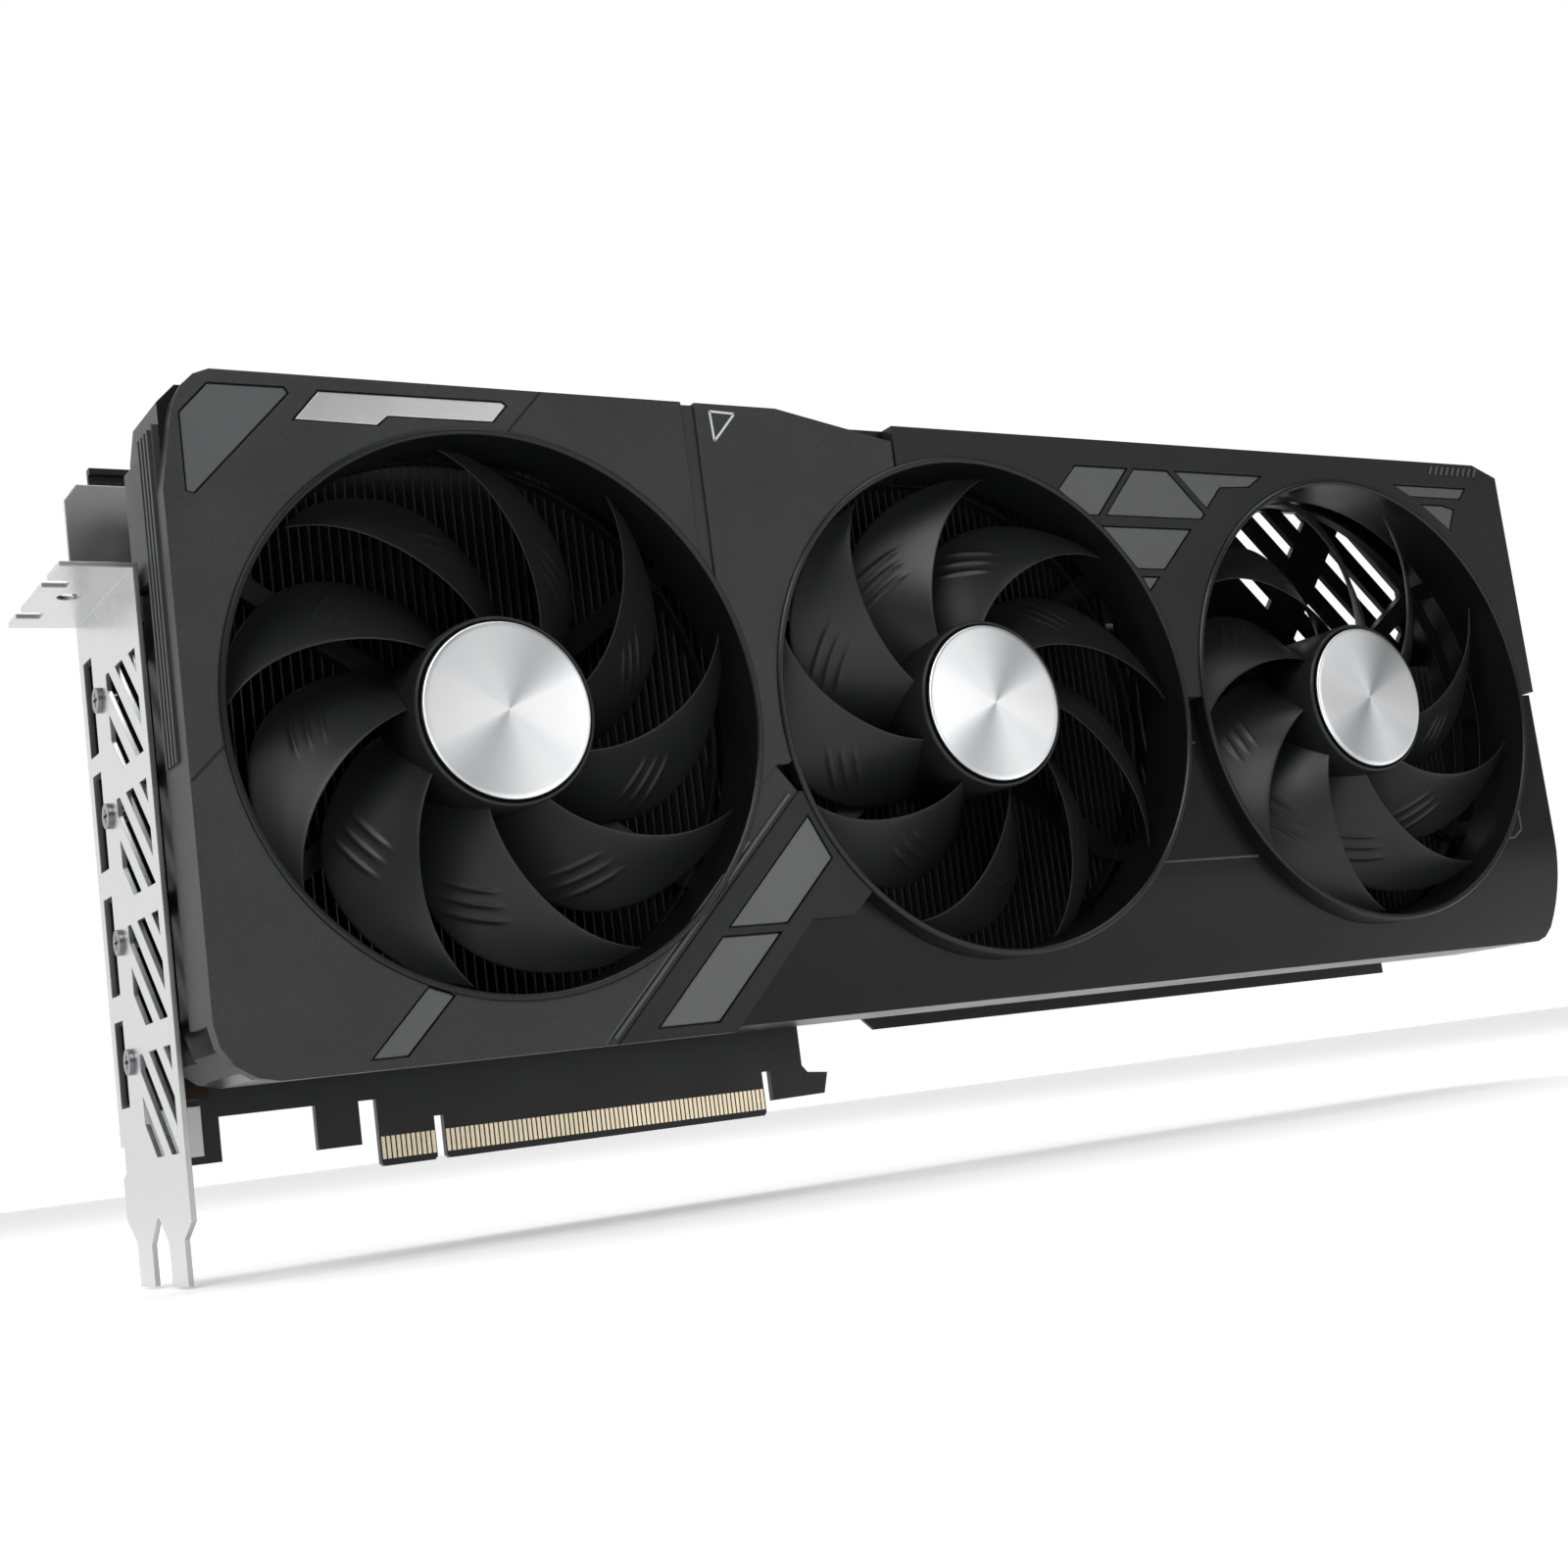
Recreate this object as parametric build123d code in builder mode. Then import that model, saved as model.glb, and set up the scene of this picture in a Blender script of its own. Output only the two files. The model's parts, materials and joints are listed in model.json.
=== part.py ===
from build123d import *
import os
from math import cos, radians, sin

# Triple-fan graphics card. Millimetres. +X runs from the slot bracket to the tail, +Z is up, away from
# the edge connector, and -Y is the front, where the fans are. The origin is the centre of the key notch,
# at the bottom edge of the contact fingers, on the component side of the board.
# A "depth" below is a distance in front of that face of the board, so depth = -Y.

os.makedirs("parts", exist_ok=True)

# ---- driving dimensions -------------------------------------------------------------------------
# board and edge connector
board_thickness = 1.57
board_left = -57.9
board_right = 188.0
board_top = 129.0
board_bottom = 18.0
board_corner_x = -40.0
board_corner_z = 104.0
key_notch_width = 1.9
short_finger_end = -12.15
long_finger_end = 72.15
contact_pitch = 1.0
contact_width = 0.7
contact_thickness = 0.05

# fans
fan_count = 3
first_fan_x = -0.4
fan_z = 75.5
fan_pitch = 106.3
ring_outer_radius = 51.0
ring_wall = 1.2
blade_gap = 0.9
blade_count = 9
fan_turns = (0.0, 18.4, 10.0)
hub_radius = 17.2
hub_wall = 1.8
cap_inset = 1.0
cap_thickness = 0.9
shaft_radius = 1.5
shaft_clearance = 0.05
sleeve_wall = 1.7
rotor_gap = 0.4
magnet_thickness = 1.8

# front casing, by depth in front of the board
front_depth = 53.0
plate_thickness = 3.5
shroud_wall = 2.2
trim_lip = 0.6
inlay_pocket = 1.0
inlay_thickness = 0.8
inlay_gap = 0.35
shroud_left = -56.0
shroud_top = 132.3
shroud_bottom = 17.0
plate_rise = 1.9
plate_drop = 1.4
side_skirt = 1.2
side_wall_rear = 31.0
top_wall_rear = 20.0
bottom_wall_rear = 16.0
lower_curve_top = 41.0
lower_curve_setback = 7.5
tail_rim = 7.3
plate_end_inset = 2.7
fan_frame_rim = 1.1
step_height = 76.0
skirt_step_y = -40.0
skirt_step_z = 101.0
rib_count = 4
rib_pitch = 1.9
rib_height = 0.5
rib_middle = 96.5
rib_length = 56.0

# cooler
fin_top_depth = 30.0
fin_base_depth = 11.0
fin_base_thickness = 0.8
fin_pitch = 4.0
fin_thickness = 0.5
pipe_radius = 3.0
cold_plate_thickness = 3.0
package_thickness = 1.2
die_thickness = 0.8
memory_thickness = 1.1

# bracket
bracket_x = -59.0
sheet = 0.86
bracket_rear = 2.5
bracket_front = -37.6
bracket_bend_z = 105.0
bracket_tip_z = -15.0
tab_length = 11.43
tab_hole_radius = 2.1
prong_width = 9.5
prong_spacing = 20.32
port_length = 17.6
port_width = 5.8
port_depth = 13.0
port_wall = 0.5
port_centres = (87.8, 66.9, 44.4)
wide_port_centre = 23.5
wide_port_length = 15.2

# rear side
rear_gap = 2.0
backplate_thickness = 1.0

# ---- derived values -----------------------------------------------------------------------------
fan_x = [first_fan_x + i * fan_pitch for i in range(fan_count)]
tail_x = fan_x[-1] + ring_outer_radius + tail_rim
plate_end = tail_x - plate_end_inset
base_depth = front_depth - plate_thickness
plate_top = shroud_top + plate_rise
plate_bottom = shroud_bottom - plate_drop
ring_inner_radius = ring_outer_radius - ring_wall
cap_radius = hub_radius - cap_inset
blade_tip_radius = ring_inner_radius - blade_gap
hub_front_depth = front_depth - cap_thickness - 0.1
hub_rear_depth = fin_top_depth + 4.2
blade_front_depth = front_depth - 3.5
blade_rear_depth = fin_top_depth + 6.6
frame_rear_depth = fin_top_depth + 1.0
frame_front_depth = frame_rear_depth + 2.5
ring_rear_depth = front_depth - 13.0
die_depth = package_thickness + die_thickness
cold_plate_top = die_depth + cold_plate_thickness
pipe_depth = cold_plate_top + pipe_radius
backplate_y = board_thickness + rear_gap
backplate_rear_y = backplate_y + backplate_thickness
frame_ring_outer = min(fan_pitch / 2 - 0.15, ring_outer_radius + fan_frame_rim)


def write(piece, name):
    """Labels a finished piece and writes its file."""
    piece.label = name
    export_step(piece, f"parts/{name}.step")


def block(x0, x1, y0, y1, z0, z1, mode=Mode.ADD):
    """A box between two corners, in the open part."""
    with Locations(((x0 + x1) / 2, (y0 + y1) / 2, (z0 + z1) / 2)):
        Box(x1 - x0, y1 - y0, z1 - z0, mode=mode)


def facing(depth):
    """The XZ plane at a depth in front of the board; extruding from it goes to the front."""
    return Plane.XZ.offset(depth)


def fan_plane(fan, depth):
    """A plane on one fan's axis at a depth, facing the front."""
    return Plane(origin=(fan_x[fan], -depth, fan_z), x_dir=(1, 0, 0), z_dir=(0, -1, 0))


def fan_cylinder(fan, radius, rear, front, mode=Mode.ADD):
    """A cylinder on one fan's axis between two depths."""
    with Locations(Location((fan_x[fan], -(rear + front) / 2, fan_z), (90, 0, 0))):
        Cylinder(radius, front - rear, mode=mode)


def diagonal(x, offset):
    """The point at x on the 45 degree line z = x + offset."""
    return (x, x + offset)


# ---- front casing -------------------------------------------------------------------------------
casing_outline = [
    (shroud_left + 10.0, shroud_bottom),
    (tail_x - 3.0, shroud_bottom),
    (tail_x - 0.9, shroud_bottom + 0.9),
    (tail_x, shroud_bottom + 3.0),
    (tail_x, step_height),
    (plate_end, step_height),
    (plate_end, shroud_top - 2.9),
    (plate_end - 7.5, shroud_top),
    (shroud_left + 3.2, shroud_top),
    (shroud_left, shroud_top - 3.2),
    (shroud_left, shroud_bottom + 10.0),
    (shroud_left + 1.5, shroud_bottom + 4.5),
    (shroud_left + 6.0, shroud_bottom + 1.0),
]

with BuildPart() as cavity:
    inner_y = -base_depth + shroud_wall
    inner_bottom = shroud_bottom + shroud_wall
    inner_top = shroud_top - shroud_wall
    with BuildSketch(Plane.YZ.offset(shroud_left)):
        with BuildLine():
            Line((0, inner_bottom), (inner_y + lower_curve_setback, inner_bottom))
            TangentArc(
                (inner_y, lower_curve_top),
                (inner_y + lower_curve_setback, inner_bottom),
                tangent=(0, -1),
            )
            Line((inner_y, lower_curve_top), (inner_y, inner_top))
            Line((inner_y, inner_top), (0, inner_top))
            Line((0, inner_top), (0, inner_bottom))
        make_face()
    extrude(amount=tail_x - shroud_left)
    with BuildSketch(Plane.XZ):
        Polygon(*casing_outline, align=None)
        offset(amount=-shroud_wall, kind=Kind.INTERSECTION)
    extrude(amount=front_depth, mode=Mode.INTERSECT)

with BuildPart() as shroud:
    curve_end = -base_depth + lower_curve_setback
    with BuildSketch(Plane.YZ.offset(shroud_left)):
        with BuildLine():
            Line((-bottom_wall_rear, shroud_bottom), (curve_end, shroud_bottom))
            TangentArc((-base_depth, lower_curve_top), (curve_end, shroud_bottom), tangent=(0, -1))
            Line((-base_depth, lower_curve_top), (-base_depth, shroud_top))
            Line((-base_depth, shroud_top), (-top_wall_rear, shroud_top))
            Line((-top_wall_rear, shroud_top), (-bottom_wall_rear, shroud_bottom))
        make_face()
    extrude(amount=tail_x - shroud_left)
    with BuildSketch(Plane.XZ):
        Polygon(*casing_outline, align=None)
    extrude(amount=front_depth, mode=Mode.INTERSECT)
    add(cavity.part, mode=Mode.SUBTRACT)
    # the side wall beside the bracket slopes down to its rear edge, and the tail wall is deeper low down
    with BuildSketch(Plane.YZ.offset(shroud_left - 1)):
        Polygon((-side_wall_rear - 6, shroud_top + 1), (-side_wall_rear - 6, shroud_top),
                (-side_wall_rear, shroud_top - 8), (0, shroud_top - 8), (0, shroud_top + 1), align=None)
    extrude(amount=10, mode=Mode.SUBTRACT)
    block(shroud_left - 1, shroud_left + shroud_wall, -side_wall_rear, 0, 0, plate_top, Mode.SUBTRACT)
    block(tail_x - shroud_wall, tail_x, -bottom_wall_rear - 6, -1, shroud_bottom + 9.5, step_height)
    for fan in range(fan_count):
        fan_cylinder(fan, ring_outer_radius, ring_rear_depth - 5, front_depth, Mode.SUBTRACT)


def cut_fans():
    """Takes the three fan openings out of the open sketch."""
    with Locations(*[(x, fan_z) for x in fan_x]):
        Circle(ring_outer_radius, mode=Mode.SUBTRACT)


def cut_fan_zone(points):
    """A flat outline without the fan openings."""
    Polygon(*points, align=None)
    cut_fans()


# outlines of the front plates, as X, Z
seam_left = fan_x[0] + ring_outer_radius - 8.9
seam_right = seam_left + 2.9
strip_line = 2.3
strip_outer_line = 5.6
inlay_left_line = -3.4
inlay_right_line = -16.3
panel_line = -21.4
left_strip_line = 49.4
left_strip_right_line = 42.6
neck_top = 64.2

left_plate_points = [
    (shroud_left + 9.0, plate_bottom),
    diagonal(plate_bottom - strip_outer_line, strip_outer_line),
    diagonal(seam_left, strip_outer_line),
    (seam_left, plate_top),
    (shroud_left + 8.2, plate_top),
    (shroud_left + 5.4, plate_top - 1.1),
    (shroud_left + 3.3, plate_top - 3.1),
    (shroud_left + 1.9, plate_top - 5.7),
    (shroud_left + 1.1, plate_top - 8.5),
    (shroud_left - side_skirt, plate_top - 21.0),
    (shroud_left - side_skirt, plate_bottom + 10.0),
    (shroud_left - side_skirt + 0.8, plate_bottom + 6.2),
    (shroud_left - side_skirt + 3.0, plate_bottom + 3.0),
    (shroud_left + 5.2, plate_bottom + 0.8),
]
middle_plate_points = [
    (seam_right, plate_top),
    (62.6, plate_top),
    (89.0, 129.0),
    (88.6, 80.0),
    (fan_x[1] - ring_outer_radius, neck_top),
    (52.5, neck_top),
    (47.0, 58.7),
    (seam_right, 60.0),
]
satin_strip_points = [
    diagonal(plate_bottom - strip_outer_line, strip_outer_line),
    diagonal(plate_bottom - strip_line, strip_line),
    diagonal(56.7, strip_line),
    (52.5, neck_top),
    (47.0, 58.7),
    diagonal(seam_left, strip_outer_line),
]
panel_points = [
    diagonal(plate_bottom - strip_line, strip_line),
    diagonal(56.7, strip_line),
    (80.0, 59.0),
    (80.0, 49.0),
    (69.5, 38.6),
    (65.4, 35.0),
    diagonal(56.2, panel_line),
    diagonal(plate_bottom - panel_line, panel_line),
]
right_plate_points = [
    (89.6, 132.3),
    (plate_end - 7.5, 132.3),
    (plate_end, 129.4),
    (plate_end, step_height),
    (89.6, step_height),
]
corner_inlay_points = [(-48.4, 131.9), (-35.1, 132.0), (-34.3, 130.8), (-52.1, 112.3), (-53.6, 112.7),
                       (-53.6, 126.4)]
accent_bar_points = [(-29.3, 131.8), (5.0, 132.0), (6.0, 131.1), (2.9, 127.7), (-16.9, 127.6),
                     (-19.0, 125.8), (-34.5, 126.0)]
upper_inlay_points = [
    [(135.7, 126.5), (150.5, 126.5), (140.4, 115.4), (136.9, 115.4), (130.1, 120.9)],
    [(151.9, 126.5), (161.5, 126.5), (170.8, 116.9), (169.4, 115.5), (141.9, 115.5)],
    [(163.3, 126.5), (190.0, 126.5), (185.3, 123.5), (176.5, 123.0), (171.6, 118.0)],
    [(140.4, 113.4), (166.2, 113.4), (156.6, 103.9), (148.9, 103.9)],
    [(149.6, 102.5), (155.0, 102.5), (151.4, 99.0)],
    [(231.1, 126.4), (256.7, 126.4), (254.0, 123.4), (236.8, 123.4)],
    [(239.6, 121.9), (247.4, 121.9), (251.4, 121.0), (248.7, 115.4)],
]
lower_inlay_points = [
    [diagonal(58.0, inlay_left_line), (62.3, 46.0), diagonal(50.6, inlay_right_line),
     diagonal(37.7, inlay_left_line)],
    [diagonal(36.4, inlay_left_line), diagonal(49.3, inlay_right_line), diagonal(33.8, inlay_right_line),
     diagonal(20.9, inlay_left_line)],
]


def inlay_pockets(outlines):
    """Sinks the pockets that inlays lie in, from the front face of the open plate."""
    with BuildSketch(facing(front_depth - inlay_pocket)) as pockets:
        for outline in outlines:
            Polygon(*outline, align=None)
        cut_fans()
    extrude(pockets.sketch, amount=inlay_pocket, mode=Mode.SUBTRACT)


def inlays(outlines):
    """The inlays themselves, a clearance smaller than their pockets, on the pockets' floor."""
    with BuildSketch(facing(front_depth - inlay_pocket)) as shapes:
        for outline in outlines:
            with BuildSketch(mode=Mode.PRIVATE) as one:
                Polygon(*outline, align=None)
                offset(amount=-inlay_gap, kind=Kind.INTERSECTION)
            add(one.sketch)
        with Locations(*[(x, fan_z) for x in fan_x]):
            Circle(ring_outer_radius + inlay_gap, mode=Mode.SUBTRACT)
    extrude(shapes.sketch, amount=inlay_thickness)


def left_strip():
    """The outline of the slanted strip below the first fan."""
    return [
        diagonal(-20.0, left_strip_line),
        diagonal(-16.0, left_strip_right_line),
        diagonal(plate_bottom + 1.6 - left_strip_right_line, left_strip_right_line),
        diagonal(plate_bottom + 1.6 - left_strip_line, left_strip_line),
    ]


with BuildPart() as cover_plate_left:
    with BuildSketch(facing(base_depth)):
        cut_fan_zone(left_plate_points)
    extrude(amount=plate_thickness)
    # the skirt that covers the casing's side wall
    skirt_face = shroud_left - side_skirt
    block(skirt_face, shroud_left, -base_depth, skirt_step_y, plate_bottom + 10.0, plate_top - 9.0)
    block(skirt_face, shroud_left, skirt_step_y, -side_wall_rear, skirt_step_z, plate_top - 12.0)
    with Locations(*[(skirt_face - rib_height / 2, -base_depth + 1.6 + i * rib_pitch, rib_middle)
                     for i in range(rib_count)]):
        Box(rib_height, rib_pitch / 2, rib_length)
    inlay_pockets([corner_inlay_points, accent_bar_points, left_strip()])

with BuildPart() as cover_plate_middle:
    with BuildSketch(facing(base_depth)):
        cut_fan_zone(middle_plate_points)
    extrude(amount=plate_thickness)

with BuildPart() as cover_plate_right:
    with BuildSketch(facing(base_depth)):
        cut_fan_zone(right_plate_points)
    extrude(amount=plate_thickness)
    inlay_pockets(upper_inlay_points)

with BuildPart() as diagonal_panel:
    with BuildSketch(facing(base_depth)):
        cut_fan_zone(panel_points)
    extrude(amount=plate_thickness)
    inlay_pockets(lower_inlay_points)

with BuildPart() as satin_strips:
    with BuildSketch(facing(base_depth)):
        cut_fan_zone(satin_strip_points)
        Polygon((seam_left, 60.0), (seam_right, 60.0), (seam_right, plate_top - 0.4),
                (seam_left, plate_top - 0.4), align=None)
        cut_fans()
    extrude(amount=plate_thickness - 0.5)

with BuildPart() as corner_inlay:
    inlays([corner_inlay_points, left_strip()])

with BuildPart() as accent_bar:
    inlays([accent_bar_points])

with BuildPart() as upper_inlays:
    inlays(upper_inlay_points)

with BuildPart() as lower_inlays:
    inlays(lower_inlay_points)

for piece, name in (
    (shroud, "shroud"),
    (cover_plate_left, "cover_plate_left"),
    (cover_plate_middle, "cover_plate_middle"),
    (cover_plate_right, "cover_plate_right"),
    (diagonal_panel, "diagonal_panel"),
    (satin_strips, "satin_strips"),
    (corner_inlay, "corner_inlay"),
    (accent_bar, "accent_bar"),
    (upper_inlays, "upper_inlays"),
    (lower_inlays, "lower_inlays"),
):
    write(piece.part, name)

# the slotted grille across the open corner of the tail
grille_left = 170.0
grille_bottom = 90.0
grille_thickness = 1.6
grille_rib = 0.3
slot_first_line = 323.0
slot_line_pitch = 11.7
slot_line_width = 5.9
cross_slope = 0.764
slot_columns = ((113.0, 138.4), (151.0, 188.0))
grille_right = plate_end - shroud_wall
grille_top = shroud_top - shroud_wall


def slot_corner(line, cross):
    """Where the falling line x + z = line meets the rising line x - cross_slope * z = cross."""
    z = (line - cross) / (1 + cross_slope)
    return (line - z, z)


with BuildPart() as tail_grille:
    with BuildSketch(facing(top_wall_rear)):
        Polygon((grille_left, grille_bottom), (grille_right, grille_bottom), (grille_right, grille_top),
                (grille_left, grille_top), align=None)
        with BuildSketch(mode=Mode.PRIVATE) as slots:
            for k in range(5):
                low = slot_first_line + k * slot_line_pitch
                high = low + slot_line_width
                for near, far in slot_columns:
                    Polygon(slot_corner(low, near), slot_corner(high, near), slot_corner(high, far),
                            slot_corner(low, far), align=None)
            with BuildSketch(mode=Mode.PRIVATE) as window:
                Polygon((grille_left + 2, grille_bottom + 2), (grille_right - grille_rib, grille_bottom + 2),
                        (grille_right - grille_rib, grille_top - grille_rib),
                        (grille_left + 2, grille_top - grille_rib), align=None)
            add(window.sketch, mode=Mode.INTERSECT)
        add(slots.sketch, mode=Mode.SUBTRACT)
    extrude(amount=-grille_thickness)
write(tail_grille.part, "tail_grille")

# ---- fans ---------------------------------------------------------------------------------------
blade_stations = (
    # share of the blade's length from root to end, leading edge angle, angle across the blade
    (0.0, -25.0, 34.0),
    (0.247, -14.0, 33.0),
    (0.494, -4.0, 31.0),
    (0.741, 5.5, 26.0),
    (0.895, 12.0, 19.5),
    (1.0, 17.5, 9.0),
)
blade_root_radius = hub_radius - 1.2
blade_end_radius = blade_tip_radius - 0.5
blade_thickness = 1.1
blade_full_chord = 24.0
strut_angles = (35, 145, 215, 325)
strut_width = 4.0
frame_gap = 0.25
motor_base_radius = 15.0
stator_radius = hub_radius - hub_wall - magnet_thickness - rotor_gap
sleeve_front = hub_front_depth - 6.0
sleeve_radius = shaft_radius + shaft_clearance + sleeve_wall
stator_slot_radius = stator_radius * 0.72
magnet_rear = hub_rear_depth + 0.8
magnet_front = hub_front_depth - 6.2
stator_middle = (hub_rear_depth + 1.0 + magnet_front) / 2


def blade_section(fan, turn, hand, station):
    """One slanted quadrilateral across a blade, standing on a radius of the fan."""
    share, lead, chord = station
    radius = blade_root_radius + (blade_end_radius - blade_root_radius) * share
    middle = radians(hand * (lead - chord / 2) + turn)
    half = radius * sin(radians(chord / 2))
    radial = (cos(middle), 0, sin(middle))
    along = (-hand * sin(middle), 0, hand * cos(middle))
    origin = (fan_x[fan] + radius * radial[0], 0, fan_z + radius * radial[2])
    fall = (blade_front_depth - blade_rear_depth) * min(1.0, chord / blade_full_chord)
    with BuildSketch(Plane(origin=origin, x_dir=along, z_dir=radial)) as section:
        Polygon(
            (half, hand * blade_front_depth),
            (-half, hand * (blade_front_depth - fall)),
            (-half, hand * (blade_front_depth - fall - blade_thickness)),
            (half, hand * (blade_front_depth - blade_thickness)),
            align=None,
        )
    return section.sketch


for fan in range(fan_count):
    hand = -1 if fan == 1 else 1
    number = fan + 1

    with BuildPart() as rotor:
        fan_cylinder(fan, hub_radius, hub_rear_depth, hub_front_depth)
        for i in range(blade_count):
            turn = i * 360 / blade_count + fan_turns[fan]
            loft([blade_section(fan, turn, hand, station) for station in blade_stations], ruled=True)
        fan_cylinder(fan, hub_radius - hub_wall, hub_rear_depth - 6, hub_front_depth - 2.2, Mode.SUBTRACT)
    write(rotor.part, f"rotor_{number}")

    with BuildPart() as hub_cap:
        fan_cylinder(fan, cap_radius, hub_front_depth, hub_front_depth + cap_thickness)
        chamfer(hub_cap.edges().group_by(Axis.Y)[0], 0.4)
    write(hub_cap.part, f"hub_cap_{number}")

    with BuildPart() as magnet_ring:
        fan_cylinder(fan, hub_radius - hub_wall, magnet_rear, magnet_front)
        fan_cylinder(fan, hub_radius - hub_wall - magnet_thickness, magnet_rear, magnet_front,
                     Mode.SUBTRACT)
    write(magnet_ring.part, f"magnet_ring_{number}")

    with BuildPart() as shaft:
        fan_cylinder(fan, shaft_radius, frame_front_depth + 1.0, hub_front_depth - 2.2)
    write(shaft.part, f"shaft_{number}")

    with BuildPart() as fan_frame:
        fan_cylinder(fan, frame_ring_outer, frame_rear_depth, frame_front_depth)
        fan_cylinder(fan, ring_outer_radius + frame_gap, frame_rear_depth, frame_front_depth, Mode.SUBTRACT)
        fan_cylinder(fan, motor_base_radius, frame_rear_depth, frame_front_depth)
        with BuildSketch(fan_plane(fan, frame_rear_depth)):
            for angle in strut_angles:
                with PolarLocations((motor_base_radius + ring_outer_radius) / 2, 1, start_angle=angle):
                    Rectangle(ring_outer_radius - motor_base_radius + 3, strut_width)
        extrude(amount=frame_front_depth - frame_rear_depth)
        with BuildSketch(fan_plane(fan, frame_rear_depth)):
            for angle in strut_angles:
                with PolarLocations((ring_outer_radius + frame_gap + frame_ring_outer) / 2, 1,
                                    start_angle=angle):
                    Rectangle(frame_ring_outer - ring_outer_radius - frame_gap, strut_width)
        extrude(amount=base_depth - shroud_wall - frame_rear_depth)
    write(fan_frame.part, f"fan_frame_{number}")

    with BuildPart() as ring_trim:
        fan_cylinder(fan, ring_outer_radius, ring_rear_depth, front_depth + trim_lip)
        fan_cylinder(fan, ring_inner_radius, ring_rear_depth, front_depth + trim_lip, Mode.SUBTRACT)
        chamfer(ring_trim.edges().group_by(Axis.Y)[0], 0.3)
    write(ring_trim.part, f"ring_trim_{number}")

with BuildPart() as stators:
    for fan in range(fan_count):
        fan_cylinder(fan, stator_radius, hub_rear_depth + 1.0, magnet_front)
        for i in range(blade_count):
            middle = radians(i * 360 / blade_count)
            with Locations(Location((fan_x[fan] + stator_slot_radius * cos(middle), -stator_middle,
                                     fan_z + stator_slot_radius * sin(middle)), (90, 0, 0))):
                Cylinder(1.9, magnet_front, mode=Mode.SUBTRACT)
        fan_cylinder(fan, sleeve_radius, frame_front_depth, front_depth, Mode.SUBTRACT)
write(stators.part, "stators")

with BuildPart() as bearings:
    for fan in range(fan_count):
        fan_cylinder(fan, sleeve_radius, frame_front_depth, sleeve_front)
        fan_cylinder(fan, shaft_radius + shaft_clearance, frame_front_depth, sleeve_front, Mode.SUBTRACT)
write(bearings.part, "bearings")

# ---- board --------------------------------------------------------------------------------------
half_notch = key_notch_width / 2
board_points = [
    (board_left, 4.6), (-42.0, 4.6), (-42.0, 12.7), (-24.0, 12.7), (-24.0, 4.5), (-15.6, 4.5),
    (-15.6, 12.6), (short_finger_end, 12.6), (short_finger_end, 0.6), (short_finger_end + 0.6, 0.0),
    (-half_notch - 0.6, 0.0), (-half_notch, 0.6), (-half_notch, 8.2), (half_notch, 8.2),
    (half_notch, 0.6), (half_notch + 0.6, 0.0), (long_finger_end - 0.6, 0.0), (long_finger_end, 0.6),
    (long_finger_end, 9.0), (74.2, 9.0), (74.2, 2.9), (86.9, 3.1), (88.2, 7.4), (83.3, 7.9),
    (82.1, 9.4), (82.1, board_bottom), (board_right, board_bottom), (board_right, board_top),
    (board_corner_x, board_top), (board_corner_x, board_corner_z), (board_left, board_corner_z),
]
with BuildPart() as circuit_board:
    with BuildSketch(Plane.XZ):
        Polygon(*board_points, align=None)
    extrude(amount=-board_thickness)
write(circuit_board.part, "circuit_board")

first_contact = half_notch + 0.55
short_contacts = int((-short_finger_end - first_contact) / contact_pitch) + 1
long_contacts = int((long_finger_end - first_contact) / contact_pitch) + 1
contact_x = [-first_contact - i * contact_pitch for i in range(short_contacts)]
contact_x += [first_contact + i * contact_pitch for i in range(long_contacts)]
contact_bottom = 1.3
contact_top = 5.5
with BuildPart() as edge_contacts:
    with BuildSketch(Plane.XZ):
        with Locations(*[(x, (contact_bottom + contact_top) / 2) for x in contact_x]):
            Rectangle(contact_width, contact_top - contact_bottom)
    extrude(amount=contact_thickness)
    with BuildSketch(Plane.XZ.offset(-board_thickness - contact_thickness)):
        with Locations(*[(x, (contact_bottom + contact_top) / 2) for x in contact_x]):
            Rectangle(contact_width, contact_top - contact_bottom)
    extrude(amount=contact_thickness)
write(edge_contacts.part, "edge_contacts")

gpu_x = 55.0
gpu_z = 68.0
package_size = 42.0
die_size = 24.0
memory_length = 14.0
memory_height = 12.0
memory_offset = package_size / 2 + 11.0
with BuildPart() as gpu_package:
    block(gpu_x - package_size / 2, gpu_x + package_size / 2, -package_thickness, 0,
          gpu_z - package_size / 2, gpu_z + package_size / 2)
write(gpu_package.part, "gpu_package")

with BuildPart() as gpu_die:
    block(gpu_x - die_size / 2, gpu_x + die_size / 2, -die_depth, -package_thickness,
          gpu_z - die_size / 2, gpu_z + die_size / 2)
write(gpu_die.part, "gpu_die")

memory_places = [(gpu_x - memory_offset, gpu_z + z) for z in (-17, 0, 17)]
memory_places += [(gpu_x + memory_offset, gpu_z + z) for z in (-17, 0, 17)]
memory_places += [(gpu_x + x, gpu_z + memory_offset) for x in (-9, 9)]
with BuildPart() as memory_chips:
    with BuildSketch(Plane.XZ):
        with Locations(*memory_places):
            Rectangle(memory_height, memory_length)
    extrude(amount=memory_thickness)
write(memory_chips.part, "memory_chips")

with BuildPart() as thermal_pads:
    with BuildSketch(facing(memory_thickness)):
        with Locations(*memory_places):
            Rectangle(memory_height - 2, memory_length - 2)
    extrude(amount=die_depth - memory_thickness)
write(thermal_pads.part, "thermal_pads")

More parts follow.
